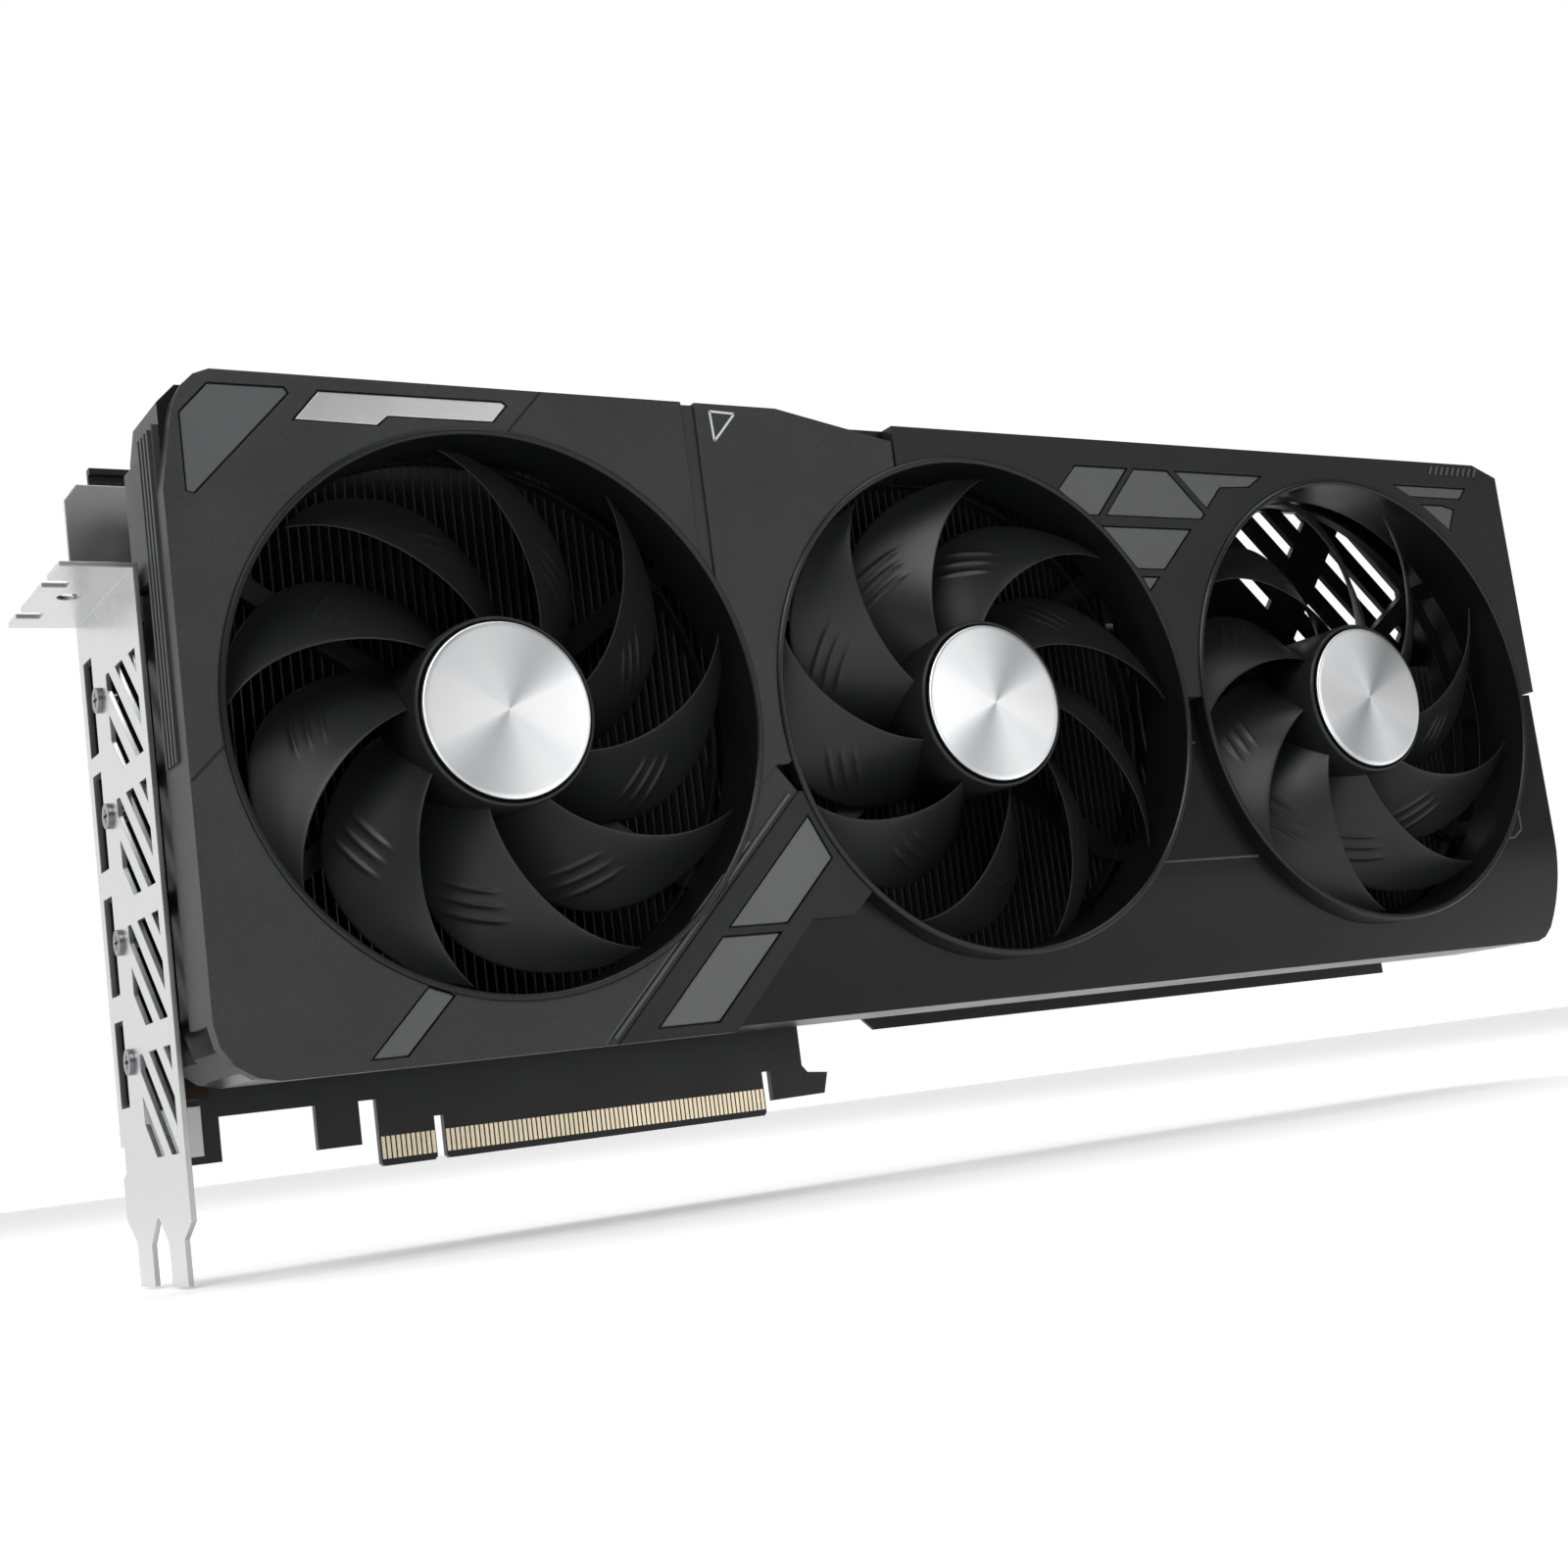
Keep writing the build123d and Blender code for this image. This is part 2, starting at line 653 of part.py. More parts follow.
inductor_size = 8.0
inductor_height = 4.4
inductor_rows = (-26.0, 122.0)
inductor_places = [(x, 30.0 + i * 10.5) for x in inductor_rows for i in range(8)]
with BuildPart() as inductors:
    with BuildSketch(Plane.XZ):
        with Locations(*inductor_places):
            RectangleRounded(inductor_size, inductor_size, 0.8)
    extrude(amount=inductor_height)
write(inductors.part, "inductors")

with BuildPart() as power_stages:
    with BuildSketch(Plane.XZ):
        with Locations(*[(x + 9.5, z) for x, z in inductor_places]):
            Rectangle(5.0, 6.0)
    extrude(amount=1.0)
write(power_stages.part, "power_stages")

capacitor_places = [(-34.0 + i * 8.0, 123.0) for i in range(6)]
capacitor_places += [(150.0 + i * 8.0, 123.0) for i in range(4)]
with BuildPart() as capacitors:
    with BuildSketch(Plane.XZ):
        with Locations(*capacitor_places):
            Circle(3.1)
    extrude(amount=7.0)
write(capacitors.part, "capacitors")

power_x = 112.0
power_width = 21.0
power_rear = 1.0
power_front = 9.6
power_bottom = 117.0
power_top = 131.0
pin_pitch = 3.0
pin_columns = 6
pin_radius = 0.5
cell = 2.2
with BuildPart() as power_connector:
    block(power_x, power_x + power_width, -power_front, -power_rear, power_bottom, power_top)
    with BuildSketch(Plane.XY.offset(power_top)) as cells:
        with Locations((power_x + power_width / 2, -(power_front + power_rear) / 2)):
            with GridLocations(pin_pitch, pin_pitch, pin_columns, 2):
                Rectangle(cell, cell)
    extrude(amount=-11.0, mode=Mode.SUBTRACT)
    block(power_x + 2, power_x + power_width - 2, -power_rear, 0, power_bottom, power_bottom + 9)
write(power_connector.part, "power_connector")

with BuildPart() as power_pins:
    with BuildSketch(Plane.XY.offset(power_top - 11.0)):
        with Locations((power_x + power_width / 2, -(power_front + power_rear) / 2)):
            with GridLocations(pin_pitch, pin_pitch, pin_columns, 2):
                Circle(pin_radius)
    extrude(amount=8.0)
write(power_pins.part, "power_pins")

with BuildPart() as fan_headers:
    for x in (-12.0, 0.0, 160.0):
        block(x, x + 8.0, -4.0, 0, 20.0, 26.0)
        block(x + 1.0, x + 7.0, -3.2, -0.8, 23.0, 26.0, Mode.SUBTRACT)
write(fan_headers.part, "fan_headers")

# ---- bracket and ports --------------------------------------------------------------------------
prong_rear = -2.9
prong_tops = -4.6
bracket_points = [
    (bracket_rear, bracket_bend_z), (bracket_rear, 9.2), (0.2, 9.2), (0.2, 4.8), (bracket_rear, 3.6),
    (bracket_rear, prong_tops + 1.0), (prong_rear, -7.4), (prong_rear, bracket_tip_z),
    (prong_rear - prong_width, bracket_tip_z), (prong_rear - prong_width, -8.0),
    (prong_rear - (prong_width + prong_spacing) / 2 + 0.6, prong_tops + 1.0),
    (prong_rear - (prong_width + prong_spacing) / 2 - 0.6, prong_tops + 1.0),
    (prong_rear - prong_spacing, -8.0), (prong_rear - prong_spacing, bracket_tip_z),
    (prong_rear - prong_spacing - prong_width, bracket_tip_z),
    (prong_rear - prong_spacing - prong_width, -7.4), (bracket_front, prong_tops),
    (bracket_front, bracket_bend_z),
]
vent_pitch = 22.3
vent_tops = [91.2 - i * vent_pitch for i in range(4)]
vent_height = 17.8
vent_near = -14.8
vent_far = -34.4
vent_slot = 4.9
vent_step = 9.1
notch_width = 4.2
notch_depth = 4.0
tab_outer_x = bracket_x - sheet - tab_length + 0.4
tab_hole = (-65.0, -18.5)
port_y = -port_width / 2 - 0.1
wide_port_y = port_y
screw_y = -9.4
all_ports = [(z, port_length) for z in port_centres] + [(wide_port_centre, wide_port_length)]

with BuildPart() as slot_bracket:
    with BuildSketch(Plane.YZ.offset(bracket_x)) as face:
        Polygon(*bracket_points, align=None)
        for top in vent_tops:
            with BuildSketch(mode=Mode.PRIVATE) as vents:
                for k in range(-1, 4):
                    start = vent_far + 4.3 + (3 - k) * vent_step - 9.1
                    Polygon((start, top), (start - vent_slot, top), (start - vent_slot - 40, top - 40),
                            (start - 40, top - 40), align=None)
                with BuildSketch(mode=Mode.PRIVATE) as vent_window:
                    with Locations(((vent_near + vent_far) / 2, top - vent_height / 2)):
                        Rectangle(vent_near - vent_far, vent_height)
                add(vent_window.sketch, mode=Mode.INTERSECT)
            add(vents.sketch, mode=Mode.SUBTRACT)
        for z, length in all_ports:
            with Locations((port_y, z)):
                Rectangle(port_width, length, mode=Mode.SUBTRACT)
            with Locations((screw_y, z)):
                Circle(1.3, mode=Mode.SUBTRACT)
    extrude(amount=sheet)
    # the top tab, bent outwards, with its screw hole and two open notches
    with BuildSketch(Plane.XY.offset(bracket_bend_z - sheet)) as tab:
        with BuildLine():
            Polyline(
                (bracket_x + sheet, bracket_rear), (tab_outer_x, bracket_rear),
                (tab_outer_x, bracket_front), (bracket_x + sheet, bracket_front), close=True,
            )
        make_face()
        with Locations(tab_hole):
            Circle(tab_hole_radius, mode=Mode.SUBTRACT)
        for y in (-6.0, -26.6):
            with Locations((tab_outer_x, y)):
                Rectangle(2 * notch_depth, notch_width, mode=Mode.SUBTRACT)
    extrude(amount=sheet)
    # the flange that is screwed to the board
    block(bracket_x, -45.4, -sheet, 0, 6.0, 15.0)
write(slot_bracket.part, "slot_bracket")

with BuildPart() as bracket_screws:
    for z, length in all_ports:
        with BuildSketch(Plane.YZ.offset(bracket_x)):
            with Locations((screw_y, z)):
                Circle(2.3)
        extrude(amount=-0.8)
        with BuildSketch(Plane.YZ.offset(bracket_x)):
            with Locations((screw_y, z)):
                Circle(1.2)
        extrude(amount=3.0)
        with BuildSketch(Plane.YZ.offset(bracket_x - 0.8)):
            with Locations((screw_y, z)):
                Rectangle(2.4, 0.5)
                Rectangle(0.5, 2.4)
        extrude(amount=0.5, mode=Mode.SUBTRACT)
write(bracket_screws.part, "bracket_screws")

stay_left = bracket_x - 0.4
stay_right = -40.0
stay_bottom = bracket_bend_z + 0.2
stay_top = 131.3
with BuildPart() as bracket_stay:
    with BuildSketch(Plane.XZ.offset(-board_thickness)):
        Polygon((stay_left, stay_bottom), (stay_right, stay_bottom), (stay_right, stay_top),
                (stay_left + 2.3, stay_top), (stay_left, stay_top - 3.0), align=None)
    extrude(amount=-sheet)
write(bracket_stay.part, "bracket_stay")


def port_shell(z, length):
    """An open metal shell around one port, from the bracket inwards."""
    inside = bracket_x + sheet
    width = port_width - 0.2
    height = length - 0.2
    block(inside, inside + port_depth, port_y - width / 2, port_y + width / 2, z - height / 2, z + height / 2)
    width -= 2 * port_wall
    height -= 2 * port_wall
    block(inside, inside + port_depth - 1.5, port_y - width / 2, port_y + width / 2,
          z - height / 2, z + height / 2, Mode.SUBTRACT)


def port_tongue(z, length):
    """The contact tongue in the middle of one port."""
    inside = bracket_x + sheet
    block(inside + 1.0, inside + port_depth - 1.5, port_y - 0.6, port_y + 0.6,
          z - length / 2 + 2.0, z + length / 2 - 2.0)


with BuildPart() as video_port_shells:
    for z in port_centres:
        port_shell(z, port_length)
write(video_port_shells.part, "video_port_shells")

with BuildPart() as wide_port_shell:
    port_shell(wide_port_centre, wide_port_length)
write(wide_port_shell.part, "wide_port_shell")

with BuildPart() as port_tongues:
    for z, length in all_ports:
        port_tongue(z, length)
write(port_tongues.part, "port_tongues")

# ---- cooler -------------------------------------------------------------------------------------
cold_plate_width = 92.0
cold_plate_height = 84.0
with BuildPart() as cold_plate:
    block(gpu_x - cold_plate_width / 2, gpu_x + cold_plate_width / 2, -cold_plate_top, -die_depth,
          gpu_z - cold_plate_height / 2, gpu_z + cold_plate_height / 2)
write(cold_plate.part, "cold_plate")

pipe_rows = [gpu_z - 25.0 + i * 10.0 for i in range(6)]
pipe_left = -40.0
pipe_right = 180.0
with BuildPart() as heat_pipes:
    for row, z in enumerate(pipe_rows):
        shift = (row - 2.5) * 3.2
        with BuildLine() as route:
            FilletPolyline(
                (pipe_left, -pipe_depth, z + shift), (gpu_x - 62, -pipe_depth, z + shift),
                (gpu_x - 44, -pipe_depth, z), (gpu_x + 44, -pipe_depth, z),
                (gpu_x + 62, -pipe_depth, z + shift), (pipe_right, -pipe_depth, z + shift), radius=14,
            )
        with BuildSketch(Plane.YZ.offset(pipe_left)):
            with Locations((-pipe_depth, z + shift)):
                Circle(pipe_radius)
        sweep(path=route.line)
write(heat_pipes.part, "heat_pipes")


def fin_stack(left, right, bottom, top, base_depth_here):
    """A row of upright fins on a thin base sheet."""
    block(left, right, -base_depth_here - fin_base_thickness, -base_depth_here, bottom, top)
    count = int((right - left - fin_thickness) / fin_pitch) + 1
    for i in range(count):
        x = left + i * fin_pitch
        block(x, x + fin_thickness, -fin_top_depth, -base_depth_here - fin_base_thickness, bottom, top)


fin_bottom = shroud_bottom + shroud_wall + 1.5
fin_top = shroud_top - shroud_wall - 0.9
fin_left = shroud_left + 10.0
fin_split = 158.0
with BuildPart() as fin_stack_main:
    fin_stack(fin_left, fin_split, fin_bottom, fin_top, fin_base_depth)
write(fin_stack_main.part, "fin_stack_main")

with BuildPart() as fin_stack_tail:
    fin_stack(fin_split + 2, plate_end - shroud_wall - 6, fin_bottom, 88.0, fin_base_depth)
write(fin_stack_tail.part, "fin_stack_tail")

# ---- rear side ----------------------------------------------------------------------------------
backplate_top = 135.0
backplate_cut = 196.0
backplate_right = plate_end - 5.8
backplate_points = [
    (-54.2, 19.0), (100.0, 19.0), (104.0, 15.3), (backplate_right, 15.3),
    (backplate_right, backplate_top - (backplate_right - backplate_cut)),
    (backplate_cut, backplate_top), (-54.2, backplate_top),
]
window = (32.0, 32.0)
standoffs = [(-28, 122), (-46, 30), (20, 24), (100, 124), (180, 122), (180, 28), (110, 24)]
with BuildPart() as backplate:
    with BuildSketch(Plane.XZ.offset(-backplate_y)):
        Polygon(*backplate_points, align=None)
        with Locations((gpu_x, gpu_z)):
            RectangleRounded(*window, 3.0, mode=Mode.SUBTRACT)
        with Locations(*standoffs):
            Circle(1.6, mode=Mode.SUBTRACT)
    extrude(amount=-backplate_thickness)
    # a folded rim along the top and posts that stand on the board
    block(-54.2, backplate_cut - 4, board_thickness + sheet + 0.2, backplate_y,
          backplate_top - 1.2, backplate_top)
write(backplate.part, "backplate")

with BuildPart() as standoff_posts:
    with BuildSketch(Plane.XZ.offset(-board_thickness)):
        with Locations(*standoffs):
            Circle(3.0)
            Circle(1.6, mode=Mode.SUBTRACT)
    extrude(amount=-rear_gap)
write(standoff_posts.part, "standoff_posts")

with BuildPart() as backplate_screws:
    with BuildSketch(Plane.XZ.offset(-board_thickness)):
        with Locations(*standoffs):
            Circle(1.5)
    extrude(amount=-rear_gap - backplate_thickness)
    with BuildSketch(Plane.XZ.offset(-backplate_rear_y)):
        with Locations(*standoffs):
            Circle(2.6)
    extrude(amount=-1.0)
    with BuildSketch(Plane.XZ.offset(-backplate_rear_y - 1.0)):
        with Locations(*standoffs):
            Rectangle(2.6, 0.6)
            Rectangle(0.6, 2.6)
    extrude(amount=0.6, mode=Mode.SUBTRACT)
write(backplate_screws.part, "backplate_screws")

retention_half = 17.0
retention_thickness = 1.0
with BuildPart() as retention_plate:
    with BuildSketch(Plane.XZ.offset(-board_thickness - 0.6)):
        with Locations((gpu_x, gpu_z)):
            with PolarLocations(0, 2, start_angle=45, angular_range=180):
                SlotOverall(2 * retention_half * 1.25, 7.0)
            Rectangle(16, 16)
            Circle(5.0, mode=Mode.SUBTRACT)
            with PolarLocations(retention_half, 4, start_angle=45):
                Circle(1.6, mode=Mode.SUBTRACT)
    extrude(amount=-retention_thickness)
write(retention_plate.part, "retention_plate")

with BuildPart() as retention_screws:
    with BuildSketch(Plane.XZ.offset(-board_thickness)):
        with Locations((gpu_x, gpu_z)):
            with PolarLocations(retention_half, 4, start_angle=45):
                Circle(1.5)
    extrude(amount=-0.6 - retention_thickness)
    with BuildSketch(Plane.XZ.offset(-board_thickness - 0.6 - retention_thickness)):
        with Locations((gpu_x, gpu_z)):
            with PolarLocations(retention_half, 4, start_angle=45):
                Circle(2.4)
    extrude(amount=-1.2)
write(retention_screws.part, "retention_screws")
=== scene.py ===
"""Looks for a triple-fan graphics card: fan rotors, spun hub caps, fine cooling fins, rims, moulded lines and finishes."""

import json
import math

import bpy
import numpy as np
from bpy.props import FloatProperty, FloatVectorProperty, IntProperty, PointerProperty
from mathutils import Matrix, Vector


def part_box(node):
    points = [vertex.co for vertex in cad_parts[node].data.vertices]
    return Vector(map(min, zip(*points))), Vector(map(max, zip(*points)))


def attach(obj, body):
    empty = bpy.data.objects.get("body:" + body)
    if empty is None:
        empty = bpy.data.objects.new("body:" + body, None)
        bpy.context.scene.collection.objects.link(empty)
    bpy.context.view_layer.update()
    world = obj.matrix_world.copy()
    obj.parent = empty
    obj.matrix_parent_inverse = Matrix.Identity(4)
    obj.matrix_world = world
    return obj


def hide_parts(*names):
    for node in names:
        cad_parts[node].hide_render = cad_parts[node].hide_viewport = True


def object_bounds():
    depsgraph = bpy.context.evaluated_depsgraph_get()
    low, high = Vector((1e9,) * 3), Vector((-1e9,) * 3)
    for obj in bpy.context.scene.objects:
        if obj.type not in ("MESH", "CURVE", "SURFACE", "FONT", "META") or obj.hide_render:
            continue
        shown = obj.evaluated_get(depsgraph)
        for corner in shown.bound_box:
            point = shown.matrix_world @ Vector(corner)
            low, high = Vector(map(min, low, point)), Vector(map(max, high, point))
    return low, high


bl_info = {
    "name": "Graphics Card",
    "version": (1, 0, 0),
    "blender": (4, 5, 0),
    "location": "View3D > Sidebar > Graphics Card",
    "description": "Builds the rotors, caps, fins, rims and finishes of a triple-fan graphics card",
    "category": "Object",
}

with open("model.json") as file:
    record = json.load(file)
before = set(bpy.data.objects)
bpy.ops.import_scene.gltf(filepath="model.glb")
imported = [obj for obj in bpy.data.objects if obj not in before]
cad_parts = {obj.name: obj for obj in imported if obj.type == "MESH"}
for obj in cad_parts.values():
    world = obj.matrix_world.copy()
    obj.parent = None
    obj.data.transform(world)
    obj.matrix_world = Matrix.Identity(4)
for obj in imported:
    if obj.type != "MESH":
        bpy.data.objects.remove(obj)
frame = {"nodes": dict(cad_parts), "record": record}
cad_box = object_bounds()

MM = 0.001
ROOT = "card"
FAN_NAMES = ("fan_1", "fan_2", "fan_3")
FAN_HAND_AND_TURN = ((1, 0.0), (-1, 18.4), (1, 10.0))
FRONT_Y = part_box("cover_plate_left")[0][1]
NODE_FINISHES = {
    "video_port_shells": "port_dark", "wide_port_shell": "port_dark", "bracket_screws": "screw_dark",
    "heat_pipes": "pipe_dark",
}


def hinge_place(body):
    """Where a fan's axis crosses the board's face, from the record's joint."""
    for joint in frame["record"]["behaviour"]["joints"]:
        if joint["child"] == body:
            return joint["pos_m"]
    raise RuntimeError(f"no joint turns {body}")


# ---- settings -----------------------------------------------------------------------------------
class CardFanSettings(bpy.types.PropertyGroup):
    """Sizes of the fan rotors and their caps."""

    blade_count: IntProperty(name="Blades", description="Blades on each fan", default=9, min=3)
    blade_thickness: FloatProperty(
        name="Blade thickness", description="Greatest thickness of a blade", default=0.0013, unit="LENGTH"
    )
    ridge_height: FloatProperty(
        name="Ridge height", description="Height of the small ridges on a blade", default=0.00042, unit="LENGTH"
    )
    cap_dome: FloatProperty(
        name="Cap dome", description="How far the hub cap's middle stands above its edge", default=0.0002,
        unit="LENGTH",
    )


class CardCoolerSettings(bpy.types.PropertyGroup):
    """Sizes of the cooling fins and of the moulded lines."""

    fin_pitch: FloatProperty(name="Fin pitch", description="Spacing of the fins", default=0.0019, unit="LENGTH")
    fin_thickness: FloatProperty(
        name="Fin thickness", description="Thickness of one fin", default=0.00035, unit="LENGTH"
    )
    line_width: FloatProperty(
        name="Line width", description="Width of the moulded lines", default=0.0009, unit="LENGTH"
    )


class CardColourSettings(bpy.types.PropertyGroup):
    """Colours of the main finishes."""

    plate: FloatVectorProperty(
        name="Plates", description="Charcoal of the front plates", default=(0.0265, 0.0268, 0.0274),
        subtype="COLOR", size=3, min=0, max=1,
    )
    casing: FloatVectorProperty(
        name="Casing", description="Black of the casing", default=(0.0075, 0.0076, 0.0079),
        subtype="COLOR", size=3, min=0, max=1,
    )
    blade: FloatVectorProperty(
        name="Blades", description="Black of the fans", default=(0.013, 0.0132, 0.0136),
        subtype="COLOR", size=3, min=0, max=1,
    )
    cap: FloatVectorProperty(
        name="Hub caps", description="Spun metal of the hub caps", default=(0.90, 0.91, 0.92),
        subtype="COLOR", size=3, min=0, max=1,
    )
    bracket: FloatVectorProperty(
        name="Bracket", description="Steel of the slot bracket", default=(0.60, 0.60, 0.605),
        subtype="COLOR", size=3, min=0, max=1,
    )


# ---- shader node groups --------------------------------------------------------------------------
def new_group(name, inputs, outputs):
    """An empty shader node group with its sockets, and its input and output nodes."""
    tree = bpy.data.node_groups.new(name, "ShaderNodeTree")
    for label, kind, value in inputs:
        socket = tree.interface.new_socket(label, in_out="INPUT", socket_type=kind)
        if value is not None:
            socket.default_value = value
    for label, kind in outputs:
        tree.interface.new_socket(label, in_out="OUTPUT", socket_type=kind)
    return tree, tree.nodes.new("NodeGroupInput"), tree.nodes.new("NodeGroupOutput")


def grain_group():
    """Fine grain on Object coordinates: a soft mottle, a speckle and a bumped, edge-rounded normal."""
    tree, given, result = new_group(
        "FineGrain",
        (
            ("Scale", "NodeSocketFloat", 2500.0),
            ("Depth", "NodeSocketFloat", 0.3),
            ("Round", "NodeSocketFloat", 0.0003),
            ("Stretch", "NodeSocketVector", (1.0, 1.0, 1.0)),
        ),
        (("Mottle", "NodeSocketFloat"), ("Speckle", "NodeSocketFloat"), ("Normal", "NodeSocketVector")),
    )
    nodes, links = tree.nodes, tree.links
    place = nodes.new("ShaderNodeTexCoord")
    stretch = nodes.new("ShaderNodeVectorMath")
    stretch.operation = "MULTIPLY"
    speckle = nodes.new("ShaderNodeTexNoise")
    speckle.inputs["Detail"].default_value = 4.0
    mottle = nodes.new("ShaderNodeTexNoise")
    mottle.inputs["Scale"].default_value = 55.0
    mottle.inputs["Detail"].default_value = 5.0
    bevel = nodes.new("ShaderNodeBevel")
    bevel.samples = 4
    bump = nodes.new("ShaderNodeBump")
    bump.inputs["Distance"].default_value = 0.0001
    links.new(place.outputs["Object"], stretch.inputs[0])
    links.new(given.outputs["Stretch"], stretch.inputs[1])
    links.new(stretch.outputs["Vector"], speckle.inputs["Vector"])
    links.new(given.outputs["Scale"], speckle.inputs["Scale"])
    links.new(place.outputs["Object"], mottle.inputs["Vector"])
    links.new(given.outputs["Round"], bevel.inputs["Radius"])
    links.new(given.outputs["Depth"], bump.inputs["Strength"])
    links.new(speckle.outputs["Fac"], bump.inputs["Height"])
    links.new(bevel.outputs["Normal"], bump.inputs["Normal"])
    links.new(mottle.outputs["Fac"], result.inputs["Mottle"])
    links.new(speckle.outputs["Fac"], result.inputs["Speckle"])
    links.new(bump.outputs["Normal"], result.inputs["Normal"])
    return tree


def tint_group():
    """A colour varied by the mottle and the speckle, and a roughness varied with them."""
    tree, given, result = new_group(
        "TintAndGloss",
        (
            ("Colour", "NodeSocketColor", (0.5, 0.5, 0.5, 1.0)),
            ("Mottle", "NodeSocketFloat", 0.5),
            ("Speckle", "NodeSocketFloat", 0.5),
            ("Amount", "NodeSocketFloat", 0.2),
            ("Gloss low", "NodeSocketFloat", 0.4),
            ("Gloss high", "NodeSocketFloat", 0.5),
        ),
        (("Colour", "NodeSocketColor"), ("Roughness", "NodeSocketFloat")),
    )
    nodes, links = tree.nodes, tree.links
    both = nodes.new("ShaderNodeMath")
    both.operation = "ADD"
    centred = nodes.new("ShaderNodeMath")
    centred.operation = "SUBTRACT"
    centred.inputs[1].default_value = 1.0
    scaled = nodes.new("ShaderNodeMath")
    scaled.operation = "MULTIPLY_ADD"
    scaled.inputs[2].default_value = 1.0
    tinted = nodes.new("ShaderNodeVectorMath")
    tinted.operation = "SCALE"
    gloss = nodes.new("ShaderNodeMapRange")
    gloss.inputs["From Min"].default_value = 0.3
    gloss.inputs["From Max"].default_value = 0.7
    links.new(given.outputs["Mottle"], both.inputs[0])
    links.new(given.outputs["Speckle"], both.inputs[1])
    links.new(both.outputs[0], centred.inputs[0])
    links.new(centred.outputs[0], scaled.inputs[0])
    links.new(given.outputs["Amount"], scaled.inputs[1])
    links.new(given.outputs["Colour"], tinted.inputs[0])
    links.new(scaled.outputs[0], tinted.inputs["Scale"])
    links.new(given.outputs["Mottle"], gloss.inputs["Value"])
    links.new(given.outputs["Gloss low"], gloss.inputs["To Min"])
    links.new(given.outputs["Gloss high"], gloss.inputs["To Max"])
    links.new(tinted.outputs[0], result.inputs["Colour"])
    links.new(gloss.outputs["Result"], result.inputs["Roughness"])
    return tree


def shared(name, builder):
    """A node group made once and used by every finish."""
    return bpy.data.node_groups.get(name) or builder()


def finish(name, colour, gloss, metal=0.0, scale=2500.0, depth=0.3, amount=0.15, round_m=0.0003,
           stretch=(1.0, 1.0, 1.0), specular=0.4, coat=0.0, anisotropic=0.0):
    """A finish with grain, mottled colour and gloss, and softly rounded edges."""
    name = f"card_{name}"
    made = bpy.data.materials.get(name)
    if made:
        return made
    made = bpy.data.materials.new(name)
    made.use_nodes = True
    nodes, links = made.node_tree.nodes, made.node_tree.links
    shader = nodes["Principled BSDF"]
    grain = nodes.new("ShaderNodeGroup")
    grain.node_tree = shared("FineGrain", grain_group)
    grain.inputs["Scale"].default_value = scale
    grain.inputs["Depth"].default_value = depth
    grain.inputs["Round"].default_value = round_m
    grain.inputs["Stretch"].default_value = stretch
    tint = nodes.new("ShaderNodeGroup")
    tint.node_tree = shared("TintAndGloss", tint_group)
    tint.inputs["Colour"].default_value = (*colour, 1.0)
    tint.inputs["Amount"].default_value = amount
    tint.inputs["Gloss low"].default_value = gloss[0]
    tint.inputs["Gloss high"].default_value = gloss[1]
    links.new(grain.outputs["Mottle"], tint.inputs["Mottle"])
    links.new(grain.outputs["Speckle"], tint.inputs["Speckle"])
    links.new(tint.outputs["Colour"], shader.inputs["Base Color"])
    links.new(tint.outputs["Roughness"], shader.inputs["Roughness"])
    links.new(grain.outputs["Normal"], shader.inputs["Normal"])
    shader.inputs["Metallic"].default_value = metal
    shader.inputs["Specular IOR Level"].default_value = specular
    shader.inputs["Coat Weight"].default_value = coat
    shader.inputs["Coat Roughness"].default_value = 0.12
    shader.inputs["Anisotropic"].default_value = anisotropic
    return made


def painted_reflection_group():
    """Painted reflection on a spun face: the colour times one plus two sines of the way round, bright and dark sectors
    that stand in for the conical highlights of spun metal.
    """
    tree, given, result = new_group(
        "PaintedReflectionWedges",
        (("Colour", "NodeSocketColor", (0.5, 0.5, 0.5, 1.0)), ("Around", "NodeSocketFloat", 0.0)),
        (("Colour", "NodeSocketColor"),),
    )
    nodes, links = tree.nodes, tree.links
    total = None
    for waves, shift, share in ((2, 2.4, 0.24), (4, 1.1, 0.18)):
        turned = nodes.new("ShaderNodeMath")
        turned.operation = "MULTIPLY_ADD"
        turned.inputs[1].default_value = 2 * math.pi * waves
        turned.inputs[2].default_value = shift
        sine = nodes.new("ShaderNodeMath")
        sine.operation = "SINE"
        part = nodes.new("ShaderNodeMath")
        part.operation = "MULTIPLY_ADD"
        part.inputs[1].default_value = share
        part.inputs[2].default_value = 1.0
        links.new(given.outputs["Around"], turned.inputs[0])
        links.new(turned.outputs[0], sine.inputs[0])
        links.new(sine.outputs[0], part.inputs[0])
        if total:
            links.new(total, part.inputs[2])
        total = part.outputs[0]
    tinted = nodes.new("ShaderNodeVectorMath")
    tinted.operation = "SCALE"
    links.new(given.outputs["Colour"], tinted.inputs[0])
    links.new(total, tinted.inputs["Scale"])
    links.new(tinted.outputs[0], result.inputs["Colour"])
    return tree


